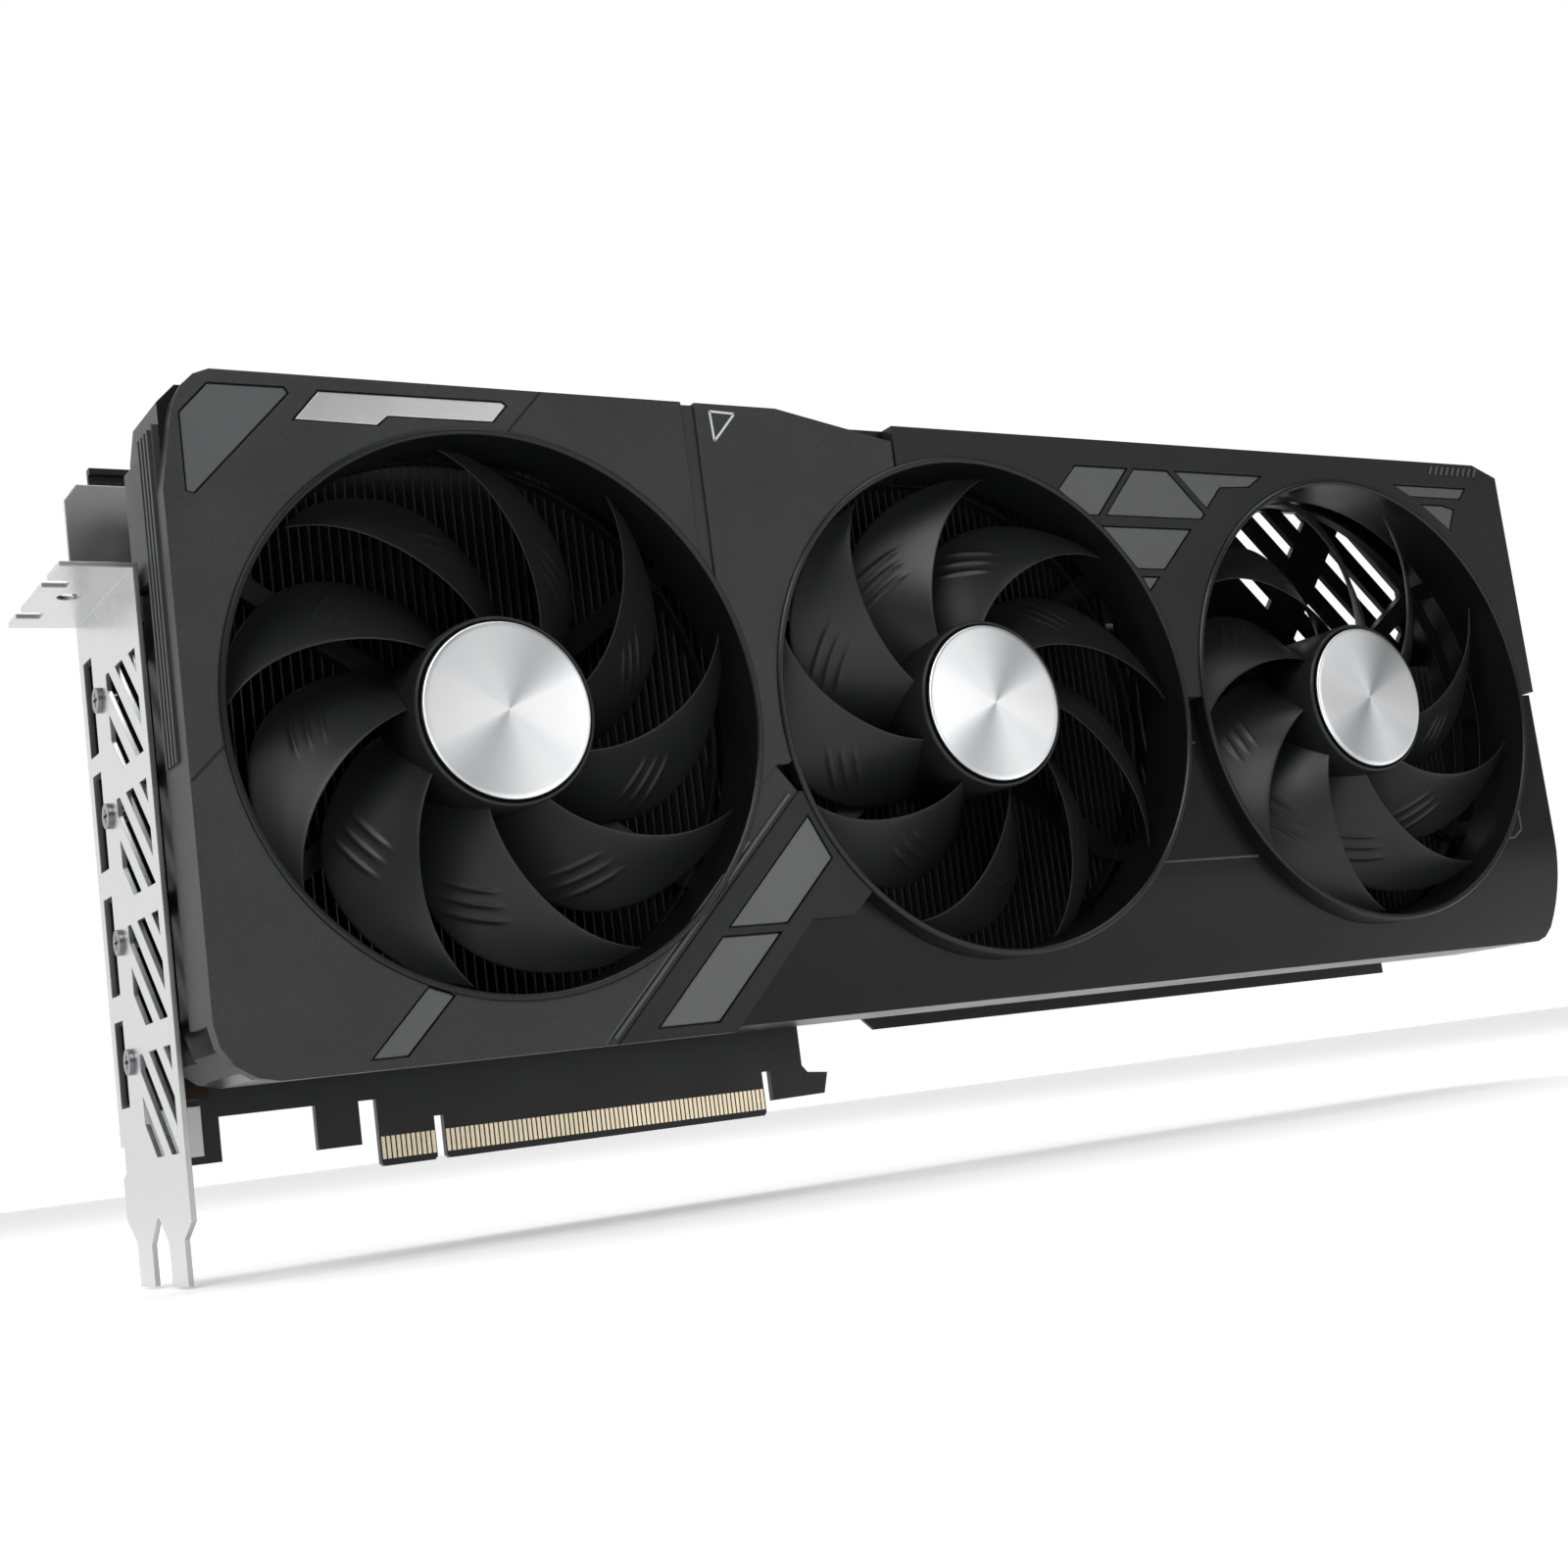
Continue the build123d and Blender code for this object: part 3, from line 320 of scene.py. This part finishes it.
def spun_cap_finish(colour):
    """Spun metal: circular strokes from the cap's own UV map, whose first number goes round and second outwards; its
    colour also carries painted reflection sectors round the cap.
    """
    made = finish("spun_cap", colour, (0.34, 0.40), 1.0, depth=0.0, amount=0.03, anisotropic=0.7)
    nodes, links = made.node_tree.nodes, made.node_tree.links
    shader = nodes["Principled BSDF"]
    around = nodes.new("ShaderNodeTangent")
    around.direction_type = "UV_MAP"
    around.uv_map = "spin"
    places = nodes.new("ShaderNodeUVMap")
    places.uv_map = "spin"
    stretch = nodes.new("ShaderNodeMapping")
    stretch.inputs["Scale"].default_value = (2.0, 260.0, 1.0)
    strokes = nodes.new("ShaderNodeTexNoise")
    strokes.inputs["Scale"].default_value = 1.0
    strokes.inputs["Detail"].default_value = 3.0
    bump = nodes.new("ShaderNodeBump")
    bump.inputs["Strength"].default_value = 0.12
    bump.inputs["Distance"].default_value = 0.00005
    links.new(places.outputs["UV"], stretch.inputs["Vector"])
    links.new(stretch.outputs["Vector"], strokes.inputs["Vector"])
    links.new(strokes.outputs["Fac"], bump.inputs["Height"])
    links.new(bump.outputs["Normal"], shader.inputs["Normal"])
    links.new(around.outputs["Tangent"], shader.inputs["Tangent"])
    # painted reflection: the base colour is made lighter and darker in sectors round the cap, standing in for the
    # conical highlights of spun metal
    reflection_sectors = nodes.new("ShaderNodeGroup")
    reflection_sectors.node_tree = shared("PaintedReflectionWedges", painted_reflection_group)
    reflection_sectors.inputs["Colour"].default_value = (*colour, 1.0)
    split = nodes.new("ShaderNodeSeparateXYZ")
    links.new(places.outputs["UV"], split.inputs["Vector"])
    links.new(split.outputs["X"], reflection_sectors.inputs["Around"])
    links.new(reflection_sectors.outputs["Colour"], shader.inputs["Base Color"])
    return made


def finish_table(colours):
    """The finish of each material slot in the record."""
    plate, casing, blade = tuple(colours.plate), tuple(colours.casing), tuple(colours.blade)
    steel = tuple(colours.bracket)
    return {
        "shroud_plastic": lambda: finish("casing_black", casing, (0.30, 0.36), scale=1800, depth=0.08, amount=0.1,
                                         specular=0.22),
        "plate_grey": lambda: finish("plate_charcoal", plate, (0.44, 0.54), scale=2200, depth=0.7, amount=0.75),
        "plate_dark": lambda: finish("plate_dark", tuple(0.72 * c for c in plate), (0.36, 0.44), scale=3000,
                                     depth=0.15, amount=0.15, specular=0.22),
        "satin_black": lambda: finish("satin_strip", tuple(1.05 * c for c in plate), (0.30, 0.38), depth=0.05,
                                      specular=0.25),
        "inlay_dark": lambda: finish("inlay_dark", tuple(3.6 * c for c in plate), (0.26, 0.34), metal=0.1, specular=0.5,
                                     scale=3000, depth=0.05, amount=0.1),
        "inlay_silver": lambda: finish("inlay_silver", (0.86, 0.86, 0.87), (0.30, 0.40), metal=1.0, scale=900,
                                       depth=0.1, stretch=(1.0, 1.0, 8.0), amount=0.1),
        "ring_plastic": lambda: finish("ring_black", tuple(0.7 * c for c in casing), (0.26, 0.34), depth=0.04,
                                       round_m=0.0004),
        "fan_plastic": lambda: finish("blade_black", blade, (0.34, 0.42), scale=1500, depth=0.06, amount=0.08,
                                      round_m=0.0002),
        "hub_sticker": lambda: finish("cap_edge", tuple(colours.cap), (0.25, 0.3), metal=1.0, depth=0.05),
        "steel": lambda: finish("steel", steel, (0.26, 0.36), metal=1.0, scale=700, depth=0.10, amount=0.10,
                                stretch=(1.0, 6.0, 0.5)),
        "port_dark": lambda: finish("port_shell", (0.030, 0.023, 0.013), (0.34, 0.44), metal=0.9, scale=1200,
                                    depth=0.08),
        "screw_dark": lambda: finish("screw_steel", (0.22, 0.22, 0.225), (0.26, 0.36), metal=1.0, depth=0.05),
        "pipe_dark": lambda: finish("pipe_plated", (0.05, 0.05, 0.05), (0.36, 0.46), metal=0.9, amount=0.2),
        "magnet": lambda: finish("magnet", (0.05, 0.05, 0.05), (0.5, 0.6), metal=0.5),
        "copper": lambda: finish("copper", (0.10, 0.095, 0.09), (0.30, 0.42), metal=1.0, amount=0.2),
        "bearing_brass": lambda: finish("bearing_brass", (0.62, 0.46, 0.22), (0.25, 0.35), metal=1.0),
        "aluminium": lambda: finish("fin_sheet", (0.045, 0.046, 0.048), (0.40, 0.5), metal=0.6, scale=900,
                                    depth=0.1, stretch=(1.0, 1.0, 5.0)),
        "nickel": lambda: finish("nickel", (0.075, 0.058, 0.034), (0.22, 0.32), metal=1.0, scale=1200, depth=0.08),
        "board_mask": lambda: finish("solder_mask", (0.010, 0.0105, 0.011), (0.34, 0.44), scale=1500, depth=0.12,
                                     amount=0.25, round_m=0.0001),
        "gold": lambda: finish("gold_plate", (0.78, 0.68, 0.50), (0.24, 0.34), metal=1.0, depth=0.08,
                               round_m=0.00003),
        "package_green": lambda: finish("package", (0.02, 0.10, 0.05), (0.4, 0.5)),
        "silicon": lambda: finish("silicon", (0.25, 0.27, 0.31), (0.08, 0.14), metal=0.8, depth=0.02),
        "chip_black": lambda: finish("chip_epoxy", (0.015, 0.015, 0.015), (0.5, 0.62), depth=0.3),
        "pad_grey": lambda: finish("thermal_pad", (0.22, 0.24, 0.28), (0.7, 0.8)),
        "choke_grey": lambda: finish("ferrite", (0.07, 0.07, 0.07), (0.5, 0.6), scale=3000, depth=0.5),
        "can_aluminium": lambda: finish("can", (0.65, 0.65, 0.66), (0.25, 0.35), metal=1.0),
        "connector_black": lambda: finish("nylon_black", (0.012, 0.012, 0.012), (0.42, 0.5), depth=0.15),
        "backplate_black": lambda: finish("backplate_paint", casing, (0.40, 0.5), scale=3200, depth=0.35,
                                          amount=0.2),
    }


# ---- surfaces ------------------------------------------------------------------------------------
def grid_faces(rows, columns, closed_columns):
    """Quads between neighbours of a grid of points, row by row; the columns may close on themselves."""
    row = np.arange(rows - 1)[:, None]
    column = np.arange(columns if closed_columns else columns - 1)[None, :]
    after = (column + 1) % columns
    quads = np.stack(
        (row * columns + column, row * columns + after, (row + 1) * columns + after,
         (row + 1) * columns + column), axis=-1)
    return quads.reshape(-1, 4)


def make_piece(name, vertices, faces, body, material, smooth=True):
    """A mesh object from whole arrays, riding on a body and dressed in a finish."""
    mesh = bpy.data.meshes.new(name)
    mesh.from_pydata(vertices, [], faces)
    mesh.update()
    if smooth:
        mesh.polygons.foreach_set("use_smooth", np.ones(len(mesh.polygons), dtype=bool))
    piece = bpy.data.objects.new(name, mesh)
    bpy.context.scene.collection.objects.link(piece)
    mesh.materials.append(material)
    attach(piece, body)
    return piece


def lathe(profile, centre, turns=96):
    """A profile of (radius, depth in front of the board) carried round a fan's axis: x = r cos a, z = r sin a."""
    angle = np.linspace(0, 2 * np.pi, turns, endpoint=False)
    radius, depth = np.asarray(profile, dtype=float).T * MM
    x = centre[0] + radius[:, None] * np.cos(angle)
    z = centre[2] + radius[:, None] * np.sin(angle)
    y = -np.broadcast_to(depth[:, None], x.shape)
    return np.stack((x, y, z), axis=-1).reshape(-1, 3), grid_faces(len(radius), turns, True)


def blade_set(settings, centre, hand, start_turn):
    """The blades of one fan, as closed sections set side by side along the radius.

    At radius r and share s across the blade, from the leading edge to the trailing one, the angle is
    lead(r) - chord(r) * s and the depth falls from the front by fall(r) * (s + camber * s * (1 - s)). The section's
    half thickness is that of a rounded strip, and the three ridges are bell curves in r along the middle of it.
    """
    stations = np.array((
        (15.6, -25.5, 34.0, 13.2), (24.0, -14.0, 33.0, 12.8), (32.0, -4.0, 31.0, 12.2), (38.0, 3.0, 27.5, 11.2),
        (43.0, 9.3, 22.0, 9.2), (46.5, 14.2, 15.0, 6.2), (48.55, 17.6, 7.0, 3.0)))
    across, along = 26, 132
    share = np.linspace(0, 1, along)
    radius = stations[0, 0] + (stations[-1, 0] - stations[0, 0]) * share
    lead, chord, fall = (
        np.polyval(np.polyfit(stations[:, 0], stations[:, k], 4), radius) for k in (1, 2, 3))
    lead, chord = np.radians(lead)[:, None], np.radians(np.maximum(chord, 5.0))[:, None]
    half_loop = (1 - np.cos(np.linspace(0, np.pi, across))) / 2
    cut = np.concatenate((half_loop, half_loop[-2:0:-1]))[None, :]
    side = np.concatenate((np.ones(across), -np.ones(across - 2)))[None, :]
    r = radius[:, None]
    thin = settings.blade_thickness / MM / 2 * (1 - 0.45 * share[:, None])
    rounded = np.sqrt(np.clip(4 * cut * (1 - cut), 0, 1)) ** 0.6
    depth = 49.5 - fall[:, None] * (cut + 0.22 * cut * (1 - cut)) + side * thin * rounded - 0.55
    ridge_at = np.array((30.5, 33.2, 35.9))[:, None, None]
    start = np.array((0.34, 0.40, 0.46))[:, None, None]
    bell = np.exp(-(((r[None] - ridge_at + 3.0 * (cut[None] - 0.5)) / 0.42) ** 2))
    window = 1 / (1 + np.exp(-(cut[None] - start) / 0.02)) / (1 + np.exp((cut[None] - start - 0.36) / 0.05))
    depth = depth + (side > 0) * settings.ridge_height / MM * (bell * window).sum(axis=0)
    turn = np.arange(settings.blade_count) * 2 * np.pi / settings.blade_count + np.radians(start_turn)
    angle = hand * (lead - chord * cut)[None] + turn[:, None, None]
    x = centre[0] + MM * r[None] * np.cos(angle)
    z = centre[2] + MM * r[None] * np.sin(angle)
    y = np.broadcast_to(-MM * depth, x.shape)
    columns = cut.shape[1]
    points = np.stack((x, y, z), axis=-1).reshape(-1, 3)
    one = grid_faces(along, columns, True)
    ends = []
    for row in (0, along - 1):
        low = row * columns + np.arange(across - 1)
        high = row * columns + (columns - np.arange(across)) % columns
        cap = np.stack((low, low + 1, high[1:], high[:-1]), axis=-1)
        ends.append(cap if row else cap[:, ::-1])
    one = np.concatenate((one, *ends))
    if hand > 0:
        one = one[:, ::-1]
    faces = (one[None] + (turn.size and np.arange(turn.size))[:, None, None] * along * columns).reshape(-1, 4)
    return points, faces


def clean_faces(faces):
    """Face lists with the corners that repeat left out, so a quad that closes on an edge is a triangle."""
    repeated = (faces == np.roll(faces, -1, axis=1)).any(axis=1)
    result = faces[~repeated].tolist()
    result += [list(dict.fromkeys(face)) for face in faces[repeated].tolist() if len(set(face)) > 2]
    return result


def bars(starts, ends, width, back, front):
    """Straight bars lying on the front, each a box from one (x, z) point to another, all at once."""
    starts, ends = np.asarray(starts, dtype=float), np.asarray(ends, dtype=float)
    run = ends - starts
    run /= np.linalg.norm(run, axis=1, keepdims=True)
    side = np.stack((-run[:, 1], run[:, 0]), axis=1) * width / 2
    corners = np.stack((starts - side, ends - side, ends + side, starts + side), axis=1)
    corners = np.concatenate((corners, corners), axis=1)
    y = np.broadcast_to(np.array([back] * 4 + [front] * 4), corners.shape[:2])
    points = np.stack((corners[..., 0], y, corners[..., 1]), axis=-1).reshape(-1, 3)
    box = np.array(((0, 1, 2, 3), (7, 6, 5, 4), (0, 4, 5, 1), (1, 5, 6, 2), (2, 6, 7, 3), (3, 7, 4, 0)))
    faces = (box[None] + 8 * np.arange(len(starts))[:, None, None]).reshape(-1, 4)
    return points, faces


def sheets(left, count, pitch, thickness, low, high):
    """Upright fins, each a thin box, at equal steps along X, between two (y, z) corners."""
    x0 = left + pitch * np.arange(count)
    unit = np.array([(i, j, k) for i in (0, 1) for j in (0, 1) for k in (0, 1)], dtype=float)
    size = np.array((thickness, high[0] - low[0], high[1] - low[1]))
    points = unit[None] * size + np.stack((x0, np.full(count, low[0]), np.full(count, low[1])), axis=1)[:, None]
    box = np.array(((0, 1, 3, 2), (4, 6, 7, 5), (0, 4, 5, 1), (2, 3, 7, 6), (0, 2, 6, 4), (1, 5, 7, 3)))
    faces = (box[None] + 8 * np.arange(count)[:, None, None]).reshape(-1, 4)
    return points.reshape(-1, 3), faces


# ---- operators -----------------------------------------------------------------------------------
class CARD_OT_dress_frame(bpy.types.Operator):
    """Dress every carried-over piece in the finish of its material slot"""

    bl_idname = "card.dress_frame"
    bl_label = "Dress the Frame"

    def execute(self, context):
        table = finish_table(context.scene.card_colours)
        for entry in frame["record"]["subparts"]:
            node = frame["nodes"][entry["node"]]
            material = table[NODE_FINISHES.get(entry["node"], entry["material_slot"])]()
            node.data.materials.clear()
            node.data.materials.append(material)
        return {"FINISHED"}


class CARD_OT_build_rotors(bpy.types.Operator):
    """Build the smooth rotors: hub cup and swept blades"""

    bl_idname = "card.build_rotors"
    bl_label = "Build Rotors"

    def execute(self, context):
        settings = context.scene.card_fans
        black = finish_table(context.scene.card_colours)["fan_plastic"]()
        cup = ((0.01, 51.0), (15.9, 51.0), (16.15, 51.15), (16.4, 51.9), (16.65, 52.05), (16.95, 51.85),
               (17.2, 51.3), (17.2, 34.2), (16.8, 34.2), (15.5, 34.2), (15.5, 49.0), (0.01, 49.0))
        for number, body in enumerate(FAN_NAMES, start=1):
            centre = hinge_place(body)
            points, faces = blade_set(settings, centre, *FAN_HAND_AND_TURN[number - 1])
            hub_points, hub_faces = lathe(cup, centre)
            faces = np.concatenate((faces, hub_faces[:, ::-1] + len(points)))
            points = np.concatenate((points, hub_points))
            piece = make_piece(f"smooth_rotor_{number}", points, clean_faces(faces), body, black)
            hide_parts(f"rotor_{number}")
        return {"FINISHED"}


class CARD_OT_build_caps(bpy.types.Operator):
    """Build the spun hub caps with a rolled edge"""

    bl_idname = "card.build_caps"
    bl_label = "Build Hub Caps"

    def execute(self, context):
        dome = context.scene.card_fans.cap_dome / MM
        metal = spun_cap_finish(tuple(context.scene.card_colours.cap))
        step = np.linspace(0, 1, 24)
        face = [(0.02 + 15.5 * s, 52.75 + dome * (1 - s * s)) for s in step]
        profile = face + [(15.75, 52.68), (15.92, 52.5), (15.98, 52.3), (15.98, 52.02), (0.02, 52.02)]
        for number, body in enumerate(FAN_NAMES, start=1):
            points, faces = lathe(profile, hinge_place(body), 128)
            piece = make_piece(f"spun_cap_{number}", points, faces[:, ::-1].tolist(), body, metal)
            spin = piece.data.uv_layers.new(name="spin")
            corners = np.empty(len(piece.data.loops), dtype=np.int32)
            piece.data.loops.foreach_get("vertex_index", corners)
            around = (corners % 128) / 128.0
            quad = around.reshape(-1, 4)
            quad[(quad.max(axis=1) - quad.min(axis=1) > 0.5)[:, None] & (quad < 0.5)] += 1.0
            outward = (corners // 128) / len(profile)
            spin.data.foreach_set("uv", np.stack((quad.ravel(), outward), axis=1).ravel())
            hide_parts(f"hub_cap_{number}")
        return {"FINISHED"}


class CARD_OT_build_fins(bpy.types.Operator):
    """Build the close fins of both stacks"""

    bl_idname = "card.build_fins"
    bl_label = "Build Fins"

    def execute(self, context):
        settings = context.scene.card_cooler
        sheet = finish_table(context.scene.card_colours)["aluminium"]()
        for node in ("fin_stack_main", "fin_stack_tail"):
            low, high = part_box(node)
            count = int((high[0] - low[0] - settings.fin_thickness) / settings.fin_pitch) + 1
            points, faces = sheets(low[0], count, settings.fin_pitch, settings.fin_thickness,
                                   (low[1], low[2]), (high[1], high[2]))
            piece = make_piece(f"close_{node}", points, faces.tolist(), ROOT, sheet, smooth=False)
            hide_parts(node)
        return {"FINISHED"}


class CARD_OT_build_rims(bpy.types.Operator):
    """Build the rolled rims of the fan openings, coloured lighter than the rings as a painted highlight"""

    bl_idname = "card.build_rims"
    bl_label = "Build Rims"

    def execute(self, context):
        # painted highlight: a grey lighter than the black rings, standing in for the band of light along each rim
        grey = finish("rim_painted_highlight", (0.040, 0.0405, 0.0415), (0.24, 0.32), depth=0.03)
        around = np.linspace(0, 2 * np.pi, 17)[:-1]
        section = [(50.45 + 0.5 * math.cos(a), 53.2 + 0.38 * math.sin(a)) for a in around]
        for number, body in enumerate(FAN_NAMES, start=1):
            points, faces = lathe(section + section[:1], hinge_place(body), 192)
            make_piece(f"rim_highlight_{number}", points, faces.tolist(), ROOT, grey)
        return {"FINISHED"}


class CARD_OT_build_lines(bpy.types.Operator):
    """Build the moulded lines, ribs and marks on the front and the side; the light grey lines and ribs are a painted
    highlight where light catches moulded edges
    """

    bl_idname = "card.build_lines"
    bl_label = "Build Moulded Lines"

    def execute(self, context):
        width = context.scene.card_cooler.line_width
        colours = context.scene.card_colours
        # painted highlight: a grey 2.6 times the plate colour on the strip lines, tail ribs, base crease and pocket
        # edge, standing in for light on these moulded edges
        light = finish("line_painted_highlight", tuple(2.6 * c for c in colours.plate), (0.28, 0.36), depth=0.05)
        white = finish("mark_white", (0.62, 0.63, 0.64), (0.4, 0.5), depth=0.05)
        front = FRONT_Y
        strip = ((12.6, 16.6, 54.6, 58.6), (10.4, 15.9, 44.6, 50.1))
        lines = np.array(strip) * MM
        points, faces = bars(lines[:, :2], lines[:, 2:], width * 0.7, front + 0.0006, front + 0.0001)
        make_piece("strip_lines", points, faces.tolist(), ROOT, light, smooth=False)
        mark = np.array(((47.8, 132.7), (53.2, 132.5), (48.1, 126.8))) * MM
        points, faces = bars(mark, np.roll(mark, -1, axis=0), width * 0.5, front, front - 0.0001)
        make_piece("corner_mark", points, faces.tolist(), ROOT, white, smooth=False)
        dark = finish("line_dark", (0.003, 0.003, 0.003), (0.5, 0.6), depth=0.05)
        seams = np.array(((5.3, 126.2, 12.7, 134.0), (-57.0, 64.5, -50.2, 71.0))) * MM
        points, faces = bars(seams[:, :2], seams[:, 2:], width * 0.5, front, front - 0.00004)
        make_piece("plate_seams", points, faces.tolist(), ROOT, dark, smooth=False)
        points, faces = sheets(-0.0562, 1, 0.001, 0.0002, (-0.0386, 0.0655), (-0.0378, 0.0880))
        make_piece("side_slit", points, faces.tolist(), ROOT, white, smooth=False)
        step = np.arange(9)
        top = np.stack((244.5 + step * 1.9, np.full(9, 129.3)), axis=1) * MM
        points, faces = bars(top, top + np.array((1.2, 2.0)) * MM, width * 0.7, front, front - 0.0003)
        make_piece("tail_ribs", points, faces.tolist(), ROOT, light, smooth=False)
        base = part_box("shroud")[0][1]
        crease = np.array(((144.8, 41.4, 173.6, 41.4), (157.9, 66.7, 160.5, 66.7))) * MM
        points, faces = bars(crease[:, :2], crease[:, 2:], width * 0.5, base + 0.0002, base - 0.00006)
        make_piece("base_crease", points, faces.tolist(), ROOT, light, smooth=False)
        pocket = np.array(((258.6, 56.0), (259.2, 51.2), (259.2, 43.5), (256.2, 41.6), (253.0, 41.6))) * MM
        points, faces = bars(pocket[:-1], pocket[1:], width * 0.6, base + 0.0002, base - 0.00008)
        make_piece("tail_pocket_edge", points, faces.tolist(), ROOT, light, smooth=False)
        hook = np.array(((35.2, 39.2), (38.6, 42.4), (38.6, 44.6))) * MM
        points, faces = bars(hook[:-1], hook[1:], width * 0.5, front + 0.0002, front - 0.00005)
        make_piece("hook_mark", points, faces.tolist(), ROOT, dark, smooth=False)
        return {"FINISHED"}


def light_room(tree):
    """A pale room, bright behind the card and dimmer towards its front, by the direction's Y."""
    nodes, links = tree.nodes, tree.links
    place = nodes.new("ShaderNodeTexCoord")
    parts = nodes.new("ShaderNodeSeparateXYZ")
    depth = nodes.new("ShaderNodeMapRange")
    depth.interpolation_type = "SMOOTHSTEP"
    depth.inputs["From Min"].default_value = -0.15
    depth.inputs["From Max"].default_value = 0.45
    depth.inputs["To Min"].default_value = 0.22
    depth.inputs["To Max"].default_value = 1.0
    links.new(place.outputs["Generated"], parts.inputs["Vector"])
    links.new(parts.outputs["Y"], depth.inputs["Value"])
    links.new(depth.outputs["Result"], nodes["Background"].inputs["Strength"])
    nodes["Background"].inputs["Color"].default_value = (1.0, 1.0, 1.0, 1.0)


def area_light(name, place, target, size, power, tall=None):
    """A soft rectangular lamp aimed at a point."""
    lamp = bpy.data.lights.new(name, "AREA")
    lamp.shape = "RECTANGLE"
    lamp.size = size
    lamp.size_y = tall or size
    lamp.energy = power
    holder = bpy.data.objects.new(name, lamp)
    bpy.context.scene.collection.objects.link(holder)
    aim = (Vector(target) - Vector(place)).normalized()
    holder.matrix_world = Matrix.Translation(place) @ aim.to_track_quat("-Z", "Y").to_matrix().to_4x4()


class CARD_OT_set_stage(bpy.types.Operator):
    """Set up the floor, the lamps, the backdrop light and the camera"""

    bl_idname = "card.set_stage"
    bl_label = "Set the Stage"

    def execute(self, context):
        scene = context.scene
        floor_z = cad_box[0][2] - 0.0004
        reach = 12.0
        mesh = bpy.data.meshes.new("floor")
        mesh.from_pydata([(-reach, -reach, floor_z), (reach, -reach, floor_z), (reach, reach, floor_z),
                          (-reach, reach, floor_z)], [], [(0, 1, 2, 3)])
        floor = bpy.data.objects.new("floor", mesh)
        scene.collection.objects.link(floor)
        paper = finish("floor_paper", (0.86, 0.86, 0.86), (0.7, 0.8), depth=0.0, amount=0.01, round_m=0.0)
        glow = paper.node_tree.nodes["Principled BSDF"]
        glow.inputs["Emission Color"].default_value = (1.0, 1.0, 1.0, 1.0)
        glow.inputs["Emission Strength"].default_value = 0.30
        mesh.materials.append(paper)
        world = bpy.data.worlds.new("studio")
        scene.world = world
        world.use_nodes = True
        light_room(world.node_tree)
        middle = (0.10, -0.03, 0.075)
        area_light("key", (-0.55, -0.75, 0.95), middle, 0.7, 7.5)
        area_light("top", (0.2, 0.05, 1.0), middle, 1.0, 4.0, 0.5)
        area_light("side", (1.3, 0.05, 0.30), middle, 0.25, 0.8, 0.9)
        area_light("left_strip", (-0.55, 0.85, 0.30), middle, 0.5, 0.25, 0.8)
        area_light("front_strip", (0.62, -0.95, 0.16), middle, 0.35, 1.15, 0.8)
        right = Vector((0.84733, -0.51511, -0.12923))
        up = Vector((0.03867, -0.18285, 0.98238))
        back = -Vector((0.52966, 0.83739, 0.13501))
        camera = bpy.data.cameras.new("camera")
        camera.sensor_width = 36.0
        camera.lens = 49.27
        camera.shift_x = -0.0072
        camera.shift_y = 0.0171
        camera.clip_start = 0.01
        holder = bpy.data.objects.new("camera", camera)
        scene.collection.objects.link(holder)
        turn = Matrix((right, up, back)).transposed().to_4x4()
        holder.matrix_world = Matrix.Translation((-0.15692, -0.38847, 0.00118)) @ turn
        scene.camera = holder
        scene.view_settings.view_transform = "Standard"
        return {"FINISHED"}


class CARD_PT_panel(bpy.types.Panel):
    """The card's settings and building steps"""

    bl_idname = "CARD_PT_panel"
    bl_label = "Graphics Card"
    bl_space_type = "VIEW_3D"
    bl_region_type = "UI"
    bl_category = "Graphics Card"

    def draw(self, context):
        for group, names in (
            (context.scene.card_fans, CardFanSettings.__annotations__),
            (context.scene.card_cooler, CardCoolerSettings.__annotations__),
            (context.scene.card_colours, CardColourSettings.__annotations__),
        ):
            box = self.layout.box()
            for name in names:
                box.prop(group, name)
        for operator in OPERATORS:
            self.layout.operator(operator.bl_idname)


OPERATORS = (
    CARD_OT_dress_frame, CARD_OT_build_rotors, CARD_OT_build_caps, CARD_OT_build_fins, CARD_OT_build_rims,
    CARD_OT_build_lines, CARD_OT_set_stage,
)
SETTINGS = (
    ("card_fans", CardFanSettings), ("card_cooler", CardCoolerSettings), ("card_colours", CardColourSettings),
)


def register():
    for name, group in SETTINGS:
        bpy.utils.register_class(group)
        setattr(bpy.types.Scene, name, PointerProperty(type=group))
    for operator in OPERATORS:
        bpy.utils.register_class(operator)
    bpy.utils.register_class(CARD_PT_panel)


def unregister():
    bpy.utils.unregister_class(CARD_PT_panel)
    for operator in reversed(OPERATORS):
        bpy.utils.unregister_class(operator)
    for name, group in reversed(SETTINGS):
        delattr(bpy.types.Scene, name)
        bpy.utils.unregister_class(group)


def main():
    register()
    bpy.ops.card.dress_frame()
    bpy.ops.card.build_rotors()
    bpy.ops.card.build_caps()
    bpy.ops.card.build_fins()
    bpy.ops.card.build_rims()
    bpy.ops.card.build_lines()
    bpy.ops.card.set_stage()


if __name__ == "__main__":
    main()
